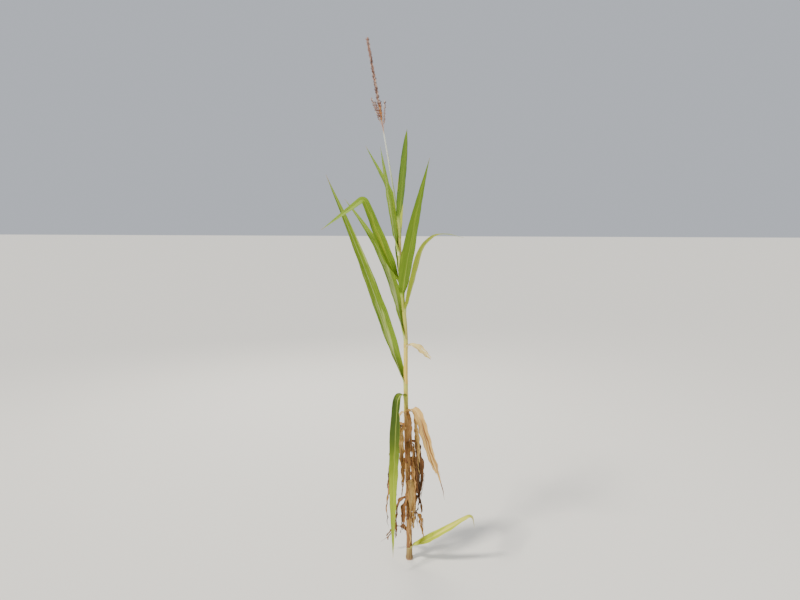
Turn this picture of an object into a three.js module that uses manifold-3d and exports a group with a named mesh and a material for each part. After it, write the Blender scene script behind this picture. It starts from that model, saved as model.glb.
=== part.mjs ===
// A tall maize plant at the end of summer: one leaning stalk, green upper leaves that rise in two
// ranks, dried leaves that hang round its foot, and a slim dry tassel. Millimetres, +Z up.
// The origin is the middle of the flat cut under the stalk, at ground level.
import * as THREE from 'three';
import { mergeVertices } from 'three/addons/utils/BufferGeometryUtils.js';
import Module from 'manifold-3d';

const wasm = await Module();
wasm.setup();

// Stalk: bare core radius at named heights, without the sheaths that wrap it
const STALK_RADII = [
  { height: 0, radius: 16 },
  { height: 28, radius: 13 },
  { height: 90, radius: 11.4 },
  { height: 450, radius: 9.8 },
  { height: 1069, radius: 7.8 },
  { height: 1448, radius: 5.9 },
  { height: 1605, radius: 4.6 },
  { height: 1720, radius: 3.9 },
  { height: 2000, radius: 2.8 },
];
const STALK_TOP = 2000;
const STALK_SIDES = 10;
const STALK_STEP = 70;

// Lean: the stalk leaves its foot to the left, turns a little further above the middle leaves, and
// its bare top leans on to the tassel
const FOOT_LEAN = { from: 0, over: 900, by: 20 };
const CROWN_LEAN = { from: 1050, over: 400, by: 28 };
const LEAN_FROM = 1540;
const LEAN_SOFTENS_OVER = 60;
const LEAN_SLOPE = 0.177;
const DEPTH_BOW = 10;

// Joints of the stalk, each a low ring just above the collar of the leaf below
const NODE_SWELL = 1.1;
const NODE_HALF_HEIGHT = 4;
const NODE_ABOVE_COLLAR = 8;
const SHEATH_ABOVE_NODE = 5;

// Sheaths: the sleeve of each leaf, from its joint up to its collar
const SHEATH_CLEARANCE = 0.4;
const SHEATH_WALL = 2;
const COLLAR_FLARE = 1.2;
const COLLAR_HEIGHT = 12;
const LONGEST_SHEATH = 190;

// Blades: a shallow V in section, thickest at the midrib
const BLADE_STATIONS = 12;
const BEND_STATIONS = 4;
const STATIONS_APART = 0.4 / BLADE_STATIONS;
const LINE_PARTS = 4;
const SHARP_BEND = 0.4;
const ROLL_FROM_COLLAR = 0.2;
const RIB_SHARE = 1 / 100;
const EDGE_SHARE = 0.4;
const THINNEST_RIB = 3;
const WIDEST_AT = 0.32;
const BASE_WIDTH_SHARE = 0.55;
const TIP_WIDTH = 3;
const TIP_THICKNESS_SHARE = 0.45;
const FOLD_AT_COLLAR = 34;
const FOLD_FADES_BY = 0.45;
const ROOT_DEPTH = 16;

// Leaves from the foot up. Angles in degrees: azimuth runs from +X towards +Y, rise is measured from
// straight up, bend is added to it between two shares of the length, sway turns the azimuth, roll
// and twist turn the blade about its own line, and fold lifts its margins above the midrib. A higher
// taper keeps a blade broad for longer.
const STRAIGHT = {
  bend: 0, bendFrom: 0, bendTo: 1, sway: 0, roll: 0, twist: 0, fold: 14, taper: 1.5,
};
const GREEN = { ...STRAIGHT, colour: 0x7fa33a };
const YELLOWING = { ...STRAIGHT, colour: 0xb0b24c };
const DRY = { ...STRAIGHT, rise: 30, bend: 147, bendTo: 0.12, fold: 26, colour: 0xc79a5c };

const LEAVES = [
  { ...YELLOWING, name: 'green_leaf_low', collar: 62, azimuth: -20, length: 402, width: 42,
    rise: 54, bend: 114, bendFrom: 0.8, bendTo: 0.9, sway: 30, roll: 40 },
  { ...DRY, name: 'dry_leaf_1', collar: 128, azimuth: 150, length: 220, width: 30,
    rise: 46, bend: 96, bendTo: 0.4, sway: 40, twist: 90 },
  { ...DRY, name: 'dry_leaf_2', collar: 206, azimuth: 34, length: 190, width: 34,
    bend: 140, bendTo: 0.3, sway: -30, twist: -70 },
  { ...DRY, name: 'dry_leaf_3', collar: 292, azimuth: -156, length: 280, width: 38,
    bend: 142, bendTo: 0.18, sway: 30, twist: 80 },
  { ...DRY, name: 'dry_leaf_4', collar: 384, azimuth: -64, length: 370, width: 42,
    bendTo: 0.14, sway: -20, twist: -100 },
  { ...DRY, name: 'dry_leaf_5', collar: 482, azimuth: 72, length: 460, width: 46,
    sway: 24, twist: 120 },
  { ...DRY, name: 'dry_leaf_6', collar: 566, azimuth: -6, length: 480, width: 48,
    sway: -12, twist: 110 },
  { ...DRY, name: 'dry_leaf_7', collar: 640, azimuth: 172, length: 560, width: 50,
    sway: -16, twist: -130 },
  { ...DRY, name: 'dry_leaf_8', collar: 712, azimuth: -54, length: 500, width: 42,
    rise: 36, bend: 112, bendTo: 0.3, sway: 16, twist: 60 },
  { ...GREEN, name: 'green_leaf_1_hanging', collar: 790, azimuth: -114, length: 780, width: 52,
    rise: 40, bend: 132, bendTo: 0.12, sway: 38, roll: 8 },
  { ...GREEN, name: 'green_leaf_2', collar: 858, azimuth: 165, length: 1035, width: 64,
    rise: 19, bend: 7, roll: -30 },
  { ...DRY, name: 'dry_leaf_9_torn', collar: 1030, azimuth: -24, length: 165, width: 36,
    rise: 58, bend: 64, bendTo: 0.35, twist: 60 },
  { ...GREEN, name: 'green_leaf_3', collar: 1069, azimuth: 172, length: 700, width: 60,
    rise: 9, bend: 30, roll: -24, twist: -10 },
  { ...GREEN, name: 'green_leaf_4_arching', collar: 1192, azimuth: -17, length: 550, width: 42,
    rise: 14, bend: 85, bendFrom: 0.38, bendTo: 0.92, sway: -22, roll: -5 },
  { ...GREEN, name: 'green_leaf_5', collar: 1264, azimuth: -74, length: 645, width: 60,
    rise: 30, bend: -10, sway: 35 },
  { ...GREEN, name: 'green_leaf_6_folded', collar: 1310, azimuth: 193, length: 640, width: 50,
    rise: 22, bend: 104, bendFrom: 0.62, bendTo: 0.67, roll: -64 },
  { ...GREEN, name: 'green_leaf_7', collar: 1362, azimuth: 120, length: 830, width: 40,
    rise: 13, bend: 43, bendFrom: 0.22, bendTo: 0.62, roll: 14 },
  { ...GREEN, name: 'green_leaf_8', collar: 1448, azimuth: 208, length: 478, width: 37,
    rise: 9.5, bend: 0, bendFrom: 0.3, bendTo: 0.8, roll: -60, taper: 1.9 },
  { ...YELLOWING, name: 'green_leaf_9', collar: 1530, azimuth: 100, length: 530, width: 30,
    rise: 24, bend: 18, sway: -14, roll: 10, taper: 2.2 },
  { ...GREEN, name: 'green_leaf_10_flag', collar: 1605, azimuth: -48, length: 388, width: 38,
    rise: 9, taper: 3.2 },
];

// Tassel: a spike that carries on the line of the stalk, and branches pressed up round its foot
const SPIKE_TOP = 2380;
const SPIKE_GAP = 0.3;
const SPIKE_BARE_UP_TO = 2096;
const SPIKE_RADIUS = { foot: 2.7, tip: 0.9 };
const SPIKE_SIDES = 6;
const SPIKE_RINGS = 9;
const SPIKELET = { length: 15, width: 5.4, lean: 22, pitch: 11, turn: 137.5, outShare: 0.4 };
const BRANCH_RADIUS = { foot: 1.4, tip: 0.8 };
const BRANCH_RINGS = 6;
const BRANCH_BARE = 0.26;
const BRANCH_DROOP_FROM = 0.2;
const BRANCH_LINE_PARTS = 24;
const BRANCHES = [
  { height: 2006, azimuth: -5, length: 105, opening: 14, droop: -2 },
  { height: 2018, azimuth: 168, length: 118, opening: 13, droop: -2 },
  { height: 2030, azimuth: 80, length: 90, opening: 14, droop: -4 },
  { height: 2042, azimuth: -135, length: 75, opening: 13, droop: -4 },
  { height: 2024, azimuth: -72, length: 70, opening: 14, droop: -4 },
];

const RIND = { color: 0xc9b36a, roughness: 0.7, metalness: 0 };
const TASSEL = { color: 0xa8764e, roughness: 0.9, metalness: 0 };
const LEAF_ROUGHNESS = 0.6;

// Joined faces are merged where that moves a surface by less than this
const SMALLEST_DETAIL = 0.06;

const UP = new THREE.Vector3(0, 0, 1);
const radians = THREE.MathUtils.degToRad;
const lerp = THREE.MathUtils.lerp;
const smooth = (value) => THREE.MathUtils.smoothstep(value, 0, 1);

// Middle of each of a number of equal parts of a whole
const middles = (count) => Array.from({ length: count }, (_, order) => (order + 0.5) / count);

// A sum of two directions that are square to each other, turned from the first towards the second
function turned(first, second, angle) {
  return first.clone().multiplyScalar(Math.cos(angle)).addScaledVector(second, Math.sin(angle));
}

// The level direction at an azimuth
function level(azimuth) {
  return new THREE.Vector3(Math.cos(azimuth), Math.sin(azimuth), 0);
}

function stalkRadius(height) {
  const above = STALK_RADII.findIndex((entry) => entry.height >= height);
  if (above === 0) return STALK_RADII[0].radius;
  if (above < 0) return STALK_RADII.at(-1).radius;
  const low = STALK_RADII[above - 1];
  const high = STALK_RADII[above];
  return lerp(low.radius, high.radius, (height - low.height) / (high.height - low.height));
}

function stalkCentre(height) {
  const settled = [FOOT_LEAN, CROWN_LEAN].reduce(
    (sum, lean) => sum + lean.by * smooth((height - lean.from) / lean.over), 0);
  const past = Math.max(0, height - LEAN_FROM);
  const leaned = (LEAN_SLOPE * past * past) / (past + LEAN_SOFTENS_OVER);
  const bowed = DEPTH_BOW * Math.sin((Math.PI * height) / STALK_TOP);
  return new THREE.Vector3(-settled - leaned, bowed, height);
}

// A flat ring of points round a centre, at one height
function levelRing(centre, radius, sides) {
  return Array.from({ length: sides }, (_, side) =>
    level((side / sides) * 2 * Math.PI).multiplyScalar(radius).add(centre));
}

// Triangles that close a convex ring
function fan(sides) {
  return Array.from({ length: sides - 2 }, (_, side) => [0, side + 1, side + 2]);
}

// A closed body through rings that run anticlockwise as seen from its far end
function loft(rings, cap) {
  const sides = rings[0].length;
  const positions = rings.flat().flatMap((point) => point.toArray());
  const faces = [];
  for (let ring = 0; ring < rings.length - 1; ring += 1) {
    for (let side = 0; side < sides; side += 1) {
      const a = ring * sides + side;
      const b = ring * sides + ((side + 1) % sides);
      faces.push([a, b, b + sides], [a, b + sides, a + sides]);
    }
  }
  const last = (rings.length - 1) * sides;
  for (const [a, b, c] of cap) faces.push([a, c, b], [last + a, last + b, last + c]);
  const geometry = new THREE.BufferGeometry();
  geometry.setAttribute('position', new THREE.Float32BufferAttribute(positions, 3));
  geometry.setIndex(faces.flat());
  return geometry;
}

function toSolid(geometry) {
  const vertProperties = new Float32Array(geometry.attributes.position.array);
  const triVerts = new Uint32Array(geometry.index.array);
  return new wasm.Manifold(new wasm.Mesh({ numProp: 3, vertProperties, triVerts }));
}

// The largest body of a solid, so that a cut leaves no loose scrap, without the slivers of its joins
function wholeBody(solid) {
  const [largest] = solid.decompose().sort((a, b) => b.volume() - a.volume());
  return largest.simplify(SMALLEST_DETAIL);
}

function toGeometry(solid) {
  const { vertProperties, triVerts } = solid.getMesh();
  const geometry = new THREE.BufferGeometry();
  geometry.setAttribute('position', new THREE.BufferAttribute(vertProperties, 3));
  geometry.setIndex(new THREE.BufferAttribute(triVerts, 1));
  geometry.computeVertexNormals();
  return geometry;
}

// Height of the joint under a leaf: just above the collar of the leaf below, or higher where its
// sheath would otherwise be longer than a real one
function sheathFoot(order) {
  const below = order === 0 ? 0 : LEAVES[order - 1].collar;
  const lowest = below + NODE_ABOVE_COLLAR + SHEATH_ABOVE_NODE;
  return Math.max(lowest, LEAVES[order].collar - LONGEST_SHEATH);
}

const NODE_HEIGHTS = LEAVES.map((_, order) => sheathFoot(order) - SHEATH_ABOVE_NODE);

// The heights at which the stalk and everything that follows it have a ring
function ringHeights() {
  const heights = new Set(STALK_RADII.map((entry) => entry.height));
  const clearOfNodes = (height) =>
    NODE_HEIGHTS.every((node) => Math.abs(node - height) > 2 * NODE_HALF_HEIGHT);
  for (let height = STALK_STEP; height < STALK_TOP; height += STALK_STEP) {
    if (clearOfNodes(height)) heights.add(height);
  }
  for (const node of NODE_HEIGHTS) {
    for (const offset of [-NODE_HALF_HEIGHT, 0, NODE_HALF_HEIGHT]) heights.add(node + offset);
  }
  return [...heights].sort((a, b) => a - b);
}

const RING_HEIGHTS = ringHeights();

function buildStalk() {
  const rings = RING_HEIGHTS.map((height) => {
    const swell = NODE_HEIGHTS.includes(height) ? NODE_SWELL : 0;
    return levelRing(stalkCentre(height), stalkRadius(height) + swell, STALK_SIDES);
  });
  return loft(rings, fan(STALK_SIDES));
}

// A column round the stalk through the given heights and the stalk's own rings between them
function column(heights, distance) {
  const [from, to] = [heights[0], heights.at(-1)];
  const apart = (height) =>
    heights.every((other) => Math.abs(other - height) > NODE_HALF_HEIGHT / 2);
  const between = RING_HEIGHTS.filter((height) => height > from && height < to && apart(height));
  const rings = [...heights, ...between].sort((a, b) => a - b).map((height) =>
    levelRing(stalkCentre(height), stalkRadius(height) + distance(height), STALK_SIDES));
  return toSolid(loft(rings, fan(STALK_SIDES)));
}

function sheathSolid(order) {
  const { collar } = LEAVES[order];
  const flared = (height) => COLLAR_FLARE * smooth((height - collar) / COLLAR_HEIGHT + 1);
  const distance = (height) => SHEATH_CLEARANCE + SHEATH_WALL + flared(height);
  return column([sheathFoot(order), collar - COLLAR_HEIGHT, collar], distance);
}

// What a leaf keeps clear of: the stalk inside its own sheath, and every other sheath
function keptClear(order) {
  const aboveLeaves = LEAVES.at(-1).collar + LONGEST_SHEATH;
  const roundSheath = 2 * SHEATH_CLEARANCE + SHEATH_WALL + COLLAR_FLARE;
  const core = column([-STALK_STEP, aboveLeaves], () => SHEATH_CLEARANCE);
  const sleeves = LEAVES.flatMap((leaf, other) => {
    if (other === order) return [];
    const ends = [sheathFoot(other) - SHEATH_ABOVE_NODE, leaf.collar + SHEATH_CLEARANCE];
    return [column(ends, () => roundSheath)];
  });
  return sleeves.reduce((sum, sleeve) => sum.add(sleeve), core);
}

function bladeWidth(leaf, share) {
  if (share < WIDEST_AT) {
    return leaf.width * lerp(BASE_WIDTH_SHARE, 1, Math.sin((share / WIDEST_AT) * (Math.PI / 2)));
  }
  const past = (share - WIDEST_AT) / (1 - WIDEST_AT);
  return Math.max(TIP_WIDTH, leaf.width * (1 - past ** leaf.taper));
}

// The six corners of a blade's section, from its lower left corner anticlockwise
function bladeSection(leaf, share, centre, across, up) {
  const half = bladeWidth(leaf, share) / 2;
  const fold = lerp(FOLD_AT_COLLAR, leaf.fold, smooth(share / FOLD_FADES_BY));
  const lift = half * Math.tan(radians(fold));
  const full = Math.max(THINNEST_RIB, leaf.length * RIB_SHARE);
  const rib = full * lerp(1, TIP_THICKNESS_SHARE, share ** 3);
  const edge = rib * EDGE_SHARE;
  const corner = (x, y) => centre.clone().addScaledVector(across, x).addScaledVector(up, y);
  return [
    corner(-half, lift - edge), corner(0, -rib), corner(half, lift - edge),
    corner(half, lift), corner(0, 0), corner(-half, lift),
  ];
}

const BLADE_CAP = [[0, 1, 4], [0, 4, 5], [1, 2, 3], [1, 3, 4]];

// Directions of a blade at one share of its length: along it, across it, and out of its upper face
function bladeFrame(leaf, share) {
  const bent = smooth((share - leaf.bendFrom) / (leaf.bendTo - leaf.bendFrom));
  const tilt = radians(leaf.rise + leaf.bend * bent);
  const azimuth = radians(leaf.azimuth + leaf.sway * share);
  const roll = radians(leaf.roll + leaf.twist * share) * smooth(share / ROLL_FROM_COLLAR);
  const out = level(azimuth);
  const side = level(azimuth + Math.PI / 2);
  const along = turned(UP, out, tilt);
  const face = turned(UP, out, tilt - Math.PI / 2);
  const across = turned(side, face, roll);
  const normal = turned(face, side, -roll);
  return { out, along, across, normal };
}

// Even shares of the length at which a blade has a section, and a few more where it bends sharply
function stationShares(leaf) {
  const shares = Array.from({ length: BLADE_STATIONS + 1 }, (_, order) => order / BLADE_STATIONS);
  const over = leaf.bendTo - leaf.bendFrom;
  if (over > SHARP_BEND) return shares;
  const inBend = Array.from({ length: BEND_STATIONS + 1 }, (_, order) =>
    leaf.bendFrom + (over * order) / BEND_STATIONS);
  const apart = (share) => inBend.every((other) => Math.abs(other - share) > STATIONS_APART);
  const kept = shares.filter((share) => share === 0 || share === 1 || apart(share));
  return [...new Set([...kept, ...inBend])].sort((a, b) => a - b);
}

// A blade from a root upright against the stalk, inside the wall of its sheath, to its tip
function bladeSolid(leaf) {
  const { collar, length } = leaf;
  const { out, across } = bladeFrame(leaf, 0);
  const inside = stalkRadius(collar) + SHEATH_CLEARANCE;
  const outside = inside + SHEATH_WALL + COLLAR_FLARE + SHEATH_CLEARANCE;
  const root = stalkCentre(collar - ROOT_DEPTH).addScaledVector(out, inside);
  const inwards = out.clone().negate();
  const rings = [bladeSection(leaf, 0, root, across, inwards)];
  const centre = stalkCentre(collar).addScaledVector(out, outside);
  const shares = stationShares(leaf);
  shares.forEach((share, order) => {
    const frame = bladeFrame(leaf, share);
    rings.push(bladeSection(leaf, share, centre, frame.across, frame.normal));
    const step = (shares[order + 1] ?? share) - share;
    for (const middle of middles(LINE_PARTS)) {
      const { along } = bladeFrame(leaf, share + middle * step);
      centre.addScaledVector(along, (length * step) / LINE_PARTS);
    }
  });
  return toSolid(loft(rings, BLADE_CAP));
}

function buildLeaf(order) {
  const whole = sheathSolid(order).add(bladeSolid(LEAVES[order])).subtract(keptClear(order));
  return toGeometry(wholeBody(whole));
}

// The turn that stands +Z on a direction
function standOn(direction) {
  return new THREE.Quaternion().setFromUnitVectors(UP, direction);
}

// A ring of points square to a direction
function squareRing(centre, direction, radius, sides) {
  const turn = standOn(direction);
  const ring = levelRing(new THREE.Vector3(), radius, sides);
  return ring.map((point) => point.applyQuaternion(turn).add(centre));
}

// One spikelet: a slim pointed body that leans out from its twig
function spikeletSolid(foot, direction, angle) {
  const side = level(angle).applyQuaternion(standOn(direction));
  const along = turned(direction, side, radians(SPIKELET.lean));
  const middle = foot.clone().addScaledVector(along, SPIKELET.length * SPIKELET.outShare);
  const body = new THREE.OctahedronGeometry(1);
  body.scale(SPIKELET.width / 2, SPIKELET.width / 2, SPIKELET.length / 2);
  body.applyQuaternion(standOn(along));
  body.translate(...middle.toArray());
  body.deleteAttribute('normal');
  body.deleteAttribute('uv');
  return toSolid(mergeVertices(body));
}

// A tapering twig along a path, with spikelets in a spiral from a share of its length on
function twigSolid(path, direction, length, radius, rings, bareShare) {
  const sections = Array.from({ length: rings }, (_, ring) => {
    const share = ring / (rings - 1);
    const size = lerp(radius.foot, radius.tip, share);
    return squareRing(path(share), direction(share), size, SPIKE_SIDES);
  });
  let solid = toSolid(loft(sections, fan(SPIKE_SIDES)));
  const count = Math.floor((length * (1 - bareShare) - SPIKELET.length) / SPIKELET.pitch);
  for (let order = 0; order < count; order += 1) {
    const share = bareShare + (order * SPIKELET.pitch) / length;
    const angle = radians(order * SPIKELET.turn);
    solid = solid.add(spikeletSolid(path(share), direction(share), angle));
  }
  return toGeometry(wholeBody(solid));
}

function spikeDirection(height) {
  return stalkCentre(height + 1).sub(stalkCentre(height - 1)).normalize();
}

// The spike stands level on the flat top of the stalk and then follows the line of its lean
function buildSpike() {
  const foot = STALK_TOP + SPIKE_GAP;
  const length = SPIKE_TOP - foot;
  const height = (share) => foot + share * length;
  const bareShare = (SPIKE_BARE_UP_TO - foot) / length;
  const path = (share) => stalkCentre(height(share));
  const direction = (share) => (share === 0 ? UP : spikeDirection(height(share)));
  return twigSolid(path, direction, length, SPIKE_RADIUS, SPIKE_RINGS, bareShare);
}

// A branch starts a hair clear of the spike, opens away from it and droops as far as it is told
function buildBranch(branch) {
  const { height, length } = branch;
  const axis = spikeDirection(height);
  const out = level(radians(branch.azimuth));
  out.addScaledVector(axis, -out.dot(axis)).normalize();
  const direction = (share) => {
    const drooped = smooth((share - BRANCH_DROOP_FROM) / (1 - BRANCH_DROOP_FROM));
    return turned(axis, out, radians(branch.opening + branch.droop * drooped));
  };
  const shareUp = (height - STALK_TOP) / (SPIKE_TOP - STALK_TOP);
  const spikeRadius = lerp(SPIKE_RADIUS.foot, SPIKE_RADIUS.tip, shareUp);
  const clear = spikeRadius + BRANCH_RADIUS.foot + SPIKE_GAP;
  const points = [stalkCentre(height).addScaledVector(out, clear)];
  for (const middle of middles(BRANCH_LINE_PARTS)) {
    const ahead = direction(middle).multiplyScalar(length / BRANCH_LINE_PARTS);
    points.push(points.at(-1).clone().add(ahead));
  }
  const curve = new THREE.CatmullRomCurve3(points);
  const path = (share) => curve.getPoint(share);
  return twigSolid(path, direction, length, BRANCH_RADIUS, BRANCH_RINGS, BRANCH_BARE);
}

function part(name, geometry, finish) {
  const mesh = new THREE.Mesh(geometry, new THREE.MeshStandardMaterial(finish));
  mesh.name = name;
  return mesh;
}

const plant = new THREE.Group();
plant.add(part('stalk', buildStalk(), RIND));
LEAVES.forEach((leaf, order) => {
  const finish = { color: leaf.colour, roughness: LEAF_ROUGHNESS, metalness: 0 };
  plant.add(part(leaf.name, buildLeaf(order), finish));
});
plant.add(part('tassel_spike', buildSpike(), TASSEL));
BRANCHES.forEach((branch, order) => {
  plant.add(part(`tassel_branch_${order + 1}`, buildBranch(branch), TASSEL));
});

export default plant;
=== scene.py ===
"""A tall maize plant in late summer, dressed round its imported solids.

Lengths are in metres and angles in degrees unless a name says otherwise. The frame is the solids'
own: +Z is up, the origin is the middle of the flat cut under the stalk, and a viewer stands on the
-Y side.
"""

import logging
import math
from collections.abc import Sequence
from dataclasses import dataclass, field, replace
from enum import Enum
from functools import cache
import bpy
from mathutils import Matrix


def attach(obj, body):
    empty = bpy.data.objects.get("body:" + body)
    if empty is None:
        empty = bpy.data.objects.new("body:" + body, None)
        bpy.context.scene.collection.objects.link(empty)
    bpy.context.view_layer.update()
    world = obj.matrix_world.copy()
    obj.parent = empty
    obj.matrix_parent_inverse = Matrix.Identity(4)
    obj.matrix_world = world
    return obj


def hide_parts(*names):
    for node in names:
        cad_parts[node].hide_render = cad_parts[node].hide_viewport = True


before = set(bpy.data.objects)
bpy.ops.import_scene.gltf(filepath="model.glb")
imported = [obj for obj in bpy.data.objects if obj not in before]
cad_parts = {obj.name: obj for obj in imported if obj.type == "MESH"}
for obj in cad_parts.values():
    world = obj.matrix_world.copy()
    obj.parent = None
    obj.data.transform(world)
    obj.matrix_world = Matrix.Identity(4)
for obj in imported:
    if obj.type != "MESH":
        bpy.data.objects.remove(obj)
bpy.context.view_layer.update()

from types import SimpleNamespace

import bmesh
import bpy
import numpy as np
from mathutils import Vector

log = logging.getLogger("maize")

BODY = "root"
EXPORT_MAP = "OFBake"
WELD_DISTANCE = 4e-6
SHARP_FROM = 50.0
FULL_TURN = 2.0 * math.pi
MILLIMETRES = 1000.0
SCREEN_LEVELS = 255
SCREEN_KNEE = 0.04045
SCREEN_SLOPE = 12.92
SCREEN_OFFSET = 0.055
SCREEN_POWER = 2.4
WANDER_LINES = 3
WANDER_RATES = (0.6, 1.5)

Colour = tuple[float, float, float, float]
Place = tuple[float, float, float]
Span = tuple[float, float]
Operand = "Field | float | Place"
Paint = "Field | str"


class Slot(Enum):
    """The material slots that the finishes name."""

    STALK = "stalk"
    GREEN_LEAF = "green_leaf"
    YELLOWING_LEAF = "yellowing_leaf"
    DRY_LEAF = "dry_leaf"
    TASSEL = "tassel"


def colour(code: str) -> Colour:
    """Turns a colour as a screen shows it into a shader's linear one.

    Args:
        code: Six hexadecimal digits, red first.

    Returns:
        Linear red, green, blue and an alpha of one.
    """
    screen = (channel / SCREEN_LEVELS for channel in bytes.fromhex(code))
    linear = (part / SCREEN_SLOPE if part <= SCREEN_KNEE
              else ((part + SCREEN_OFFSET) / (1.0 + SCREEN_OFFSET)) ** SCREEN_POWER for part in screen)
    return (*linear, 1.0)


def smooth(value: np.ndarray | float) -> np.ndarray:
    """Eases from 0 to 1 as the value does, and stays level outside that."""
    clipped = np.clip(value, 0.0, 1.0)
    return clipped * clipped * (3.0 - 2.0 * clipped)


def lerp(low: float, high: float, share: np.ndarray | float) -> np.ndarray:
    """Goes from low to high as share goes from 0 to 1."""
    return low + (high - low) * np.asarray(share, float)


def level(azimuth: np.ndarray) -> np.ndarray:
    """Level directions at azimuths in radians, one row each."""
    return np.stack([np.cos(azimuth), np.sin(azimuth), np.zeros_like(azimuth)], axis=-1)


def turned(first: np.ndarray, second: np.ndarray, angle: np.ndarray) -> np.ndarray:
    """Rows of first turned by angles in radians towards the rows of second, which are square to them."""
    return first * np.cos(angle)[:, None] + second * np.sin(angle)[:, None]


def rows_of(direction: np.ndarray, count: int) -> np.ndarray:
    """One direction, repeated in as many rows."""
    return np.repeat(direction[None, :], count, axis=0)


def wander(length: int, seed: int, waves: float) -> np.ndarray:
    """A seeded smooth line that wanders between about -1 and 1.

    Args:
        length: How many values it has.
        seed: Fixes the line.
        waves: About how many times it turns over its whole length.

    Returns:
        The values in order.
    """
    draw = np.random.default_rng(seed)
    share = np.linspace(0.0, 1.0, length)
    rates = waves * draw.uniform(*WANDER_RATES, WANDER_LINES)
    phases = draw.uniform(0.0, FULL_TURN, WANDER_LINES)
    lines = (np.sin(FULL_TURN * rate * share + phase) for rate, phase in zip(rates, phases))
    return sum(lines) / WANDER_LINES


def placed(name: str, data: bpy.types.ID) -> bpy.types.Object:
    """Places a new object in the scene, at its origin.

    Args:
        name: The object's name.
        data: Its mesh, light or camera.

    Returns:
        The object.
    """
    made = bpy.data.objects.new(name, data)
    bpy.context.scene.collection.objects.link(made)
    return made


def joined(pieces: Sequence[bpy.types.Object]) -> bpy.types.Object:
    """Joins plain meshes into the first of them.

    Args:
        pieces: Objects at the origin.

    Returns:
        The first object, which now holds every face.
    """
    first = pieces[0]
    together = list(pieces)
    if len(together) > 1:
        with bpy.context.temp_override(object=first, active_object=first, selected_objects=together,
                                       selected_editable_objects=together):
            bpy.ops.object.join()
    return first


@dataclass(frozen=True)
class Lean:
    """A stretch of the stalk over which its line settles sideways."""

    start: float
    over: float
    by: float


@dataclass(frozen=True)
class StalkLine:
    """The line and the girth that stalk, sheaths and tassel share."""

    top: float = 2.0
    heights: tuple[float, ...] = (0.0, 0.028, 0.090, 0.450, 1.069, 1.448, 1.605, 1.720, 2.000)
    radii: tuple[float, ...] = (0.0160, 0.0130, 0.0114, 0.0098, 0.0078, 0.0059, 0.0046, 0.0039, 0.0028)
    leans: tuple[Lean, ...] = (Lean(0.0, 0.9, 0.020), Lean(1.05, 0.4, 0.028))
    crown_from: float = 1.54
    crown_softens_over: float = 0.06
    crown_slope: float = 0.177
    depth_bow: float = 0.010

    def centre(self, height: np.ndarray | float) -> np.ndarray:
        """Points of the stalk's line.

        Args:
            height: One height or several.

        Returns:
            One row for each height.
        """
        height = np.asarray(height, float)
        settled = sum(lean.by * smooth((height - lean.start) / lean.over) for lean in self.leans)
        past = np.maximum(0.0, height - self.crown_from)
        leaned = self.crown_slope * past * past / (past + self.crown_softens_over)
        bowed = self.depth_bow * np.sin(np.pi * height / self.top)
        return np.stack([-settled - leaned, bowed, height], axis=-1)

    def radius(self, height: np.ndarray | float) -> np.ndarray:
        """Radius of the bare stalk at some heights."""
        return np.interp(height, self.heights, self.radii)

    def direction(self, height: float, step: float = 0.001) -> np.ndarray:
        """The way that the line points at a height."""
        way = self.centre(height + step) - self.centre(height - step)
        return way / np.linalg.norm(way)


class Field:
    """A value that runs through a node tree and takes Python's arithmetic."""

    def __init__(self, graph: "Graph", socket: bpy.types.NodeSocket) -> None:
        """Wraps an output socket of the graph."""
        self.graph = graph
        self.socket = socket

    @property
    def is_vector(self) -> bool:
        """Whether the value has three components."""
        return self.socket.type in ("VECTOR", "RGBA")

    def _with(self, operation: str, other: Operand, swapped: bool = False) -> "Field":
        """Adds the node for an operation on two values, in Math or Vector Math as they need.

        Args:
            operation: The node's own name for it.
            other: The second value.
            swapped: Whether the other value comes first.

        Returns:
            The result.
        """
        other_is_vector = other.is_vector if isinstance(other, Field) else isinstance(other, tuple)
        pair = (other, self) if swapped else (self, other)
        if not self.is_vector and not other_is_vector:
            return self.graph.math(operation, *pair)
        if operation == "MULTIPLY" and self.is_vector != other_is_vector:
            vector, scale = (self, other) if self.is_vector else (other, self)
            return self.graph.scaled(vector, scale)
        return self.graph.vector_math(operation, *pair)

    def __add__(self, other: Operand) -> "Field":
        """Sum."""
        return self._with("ADD", other)

    def __radd__(self, other: Operand) -> "Field":
        """Sum, with the value on the right."""
        return self._with("ADD", other, swapped=True)

    def __sub__(self, other: Operand) -> "Field":
        """Difference."""
        return self._with("SUBTRACT", other)

    def __rsub__(self, other: Operand) -> "Field":
        """Difference, with the value on the right."""
        return self._with("SUBTRACT", other, swapped=True)

    def __mul__(self, other: Operand) -> "Field":
        """Product, or a scaled vector."""
        return self._with("MULTIPLY", other)

    def __truediv__(self, other: Operand) -> "Field":
        """Quotient."""
        return self._with("DIVIDE", other)

    def __pow__(self, power: Operand) -> "Field":
        """Power of a plain number."""
        return self.graph.math("POWER", self, power)

    def __neg__(self) -> "Field":
        """The opposite value."""
        return self * -1.0

    def __abs__(self) -> "Field":
        """The size of the value."""
        return self.graph.math("ABSOLUTE", self)

    def sign(self) -> "Field":
        """One, zero or minus one, as the value is above, at or below zero."""
        return self.graph.math("SIGN", self)

    def sin(self) -> "Field":
        """Sine of an angle in radians."""
        return self.graph.math("SINE", self)

    def cos(self) -> "Field":
        """Cosine of an angle in radians."""
        return self.graph.math("COSINE", self)

    def above(self, limit: Operand) -> "Field":
        """One where the value is over the limit, and zero elsewhere."""
        return self.graph.math("GREATER_THAN", self, limit)

    def eased(self, low: Operand, high: Operand) -> "Field":
        """Eases from 0 at low to 1 at high."""
        return self.graph.mapped(self, low, high, "SMOOTHSTEP")

    def ramped(self, low: Operand, high: Operand) -> "Field":
        """Goes evenly from 0 at low to 1 at high, and stays level outside that."""
        return self.graph.mapped(self, low, high, "LINEAR")


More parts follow.
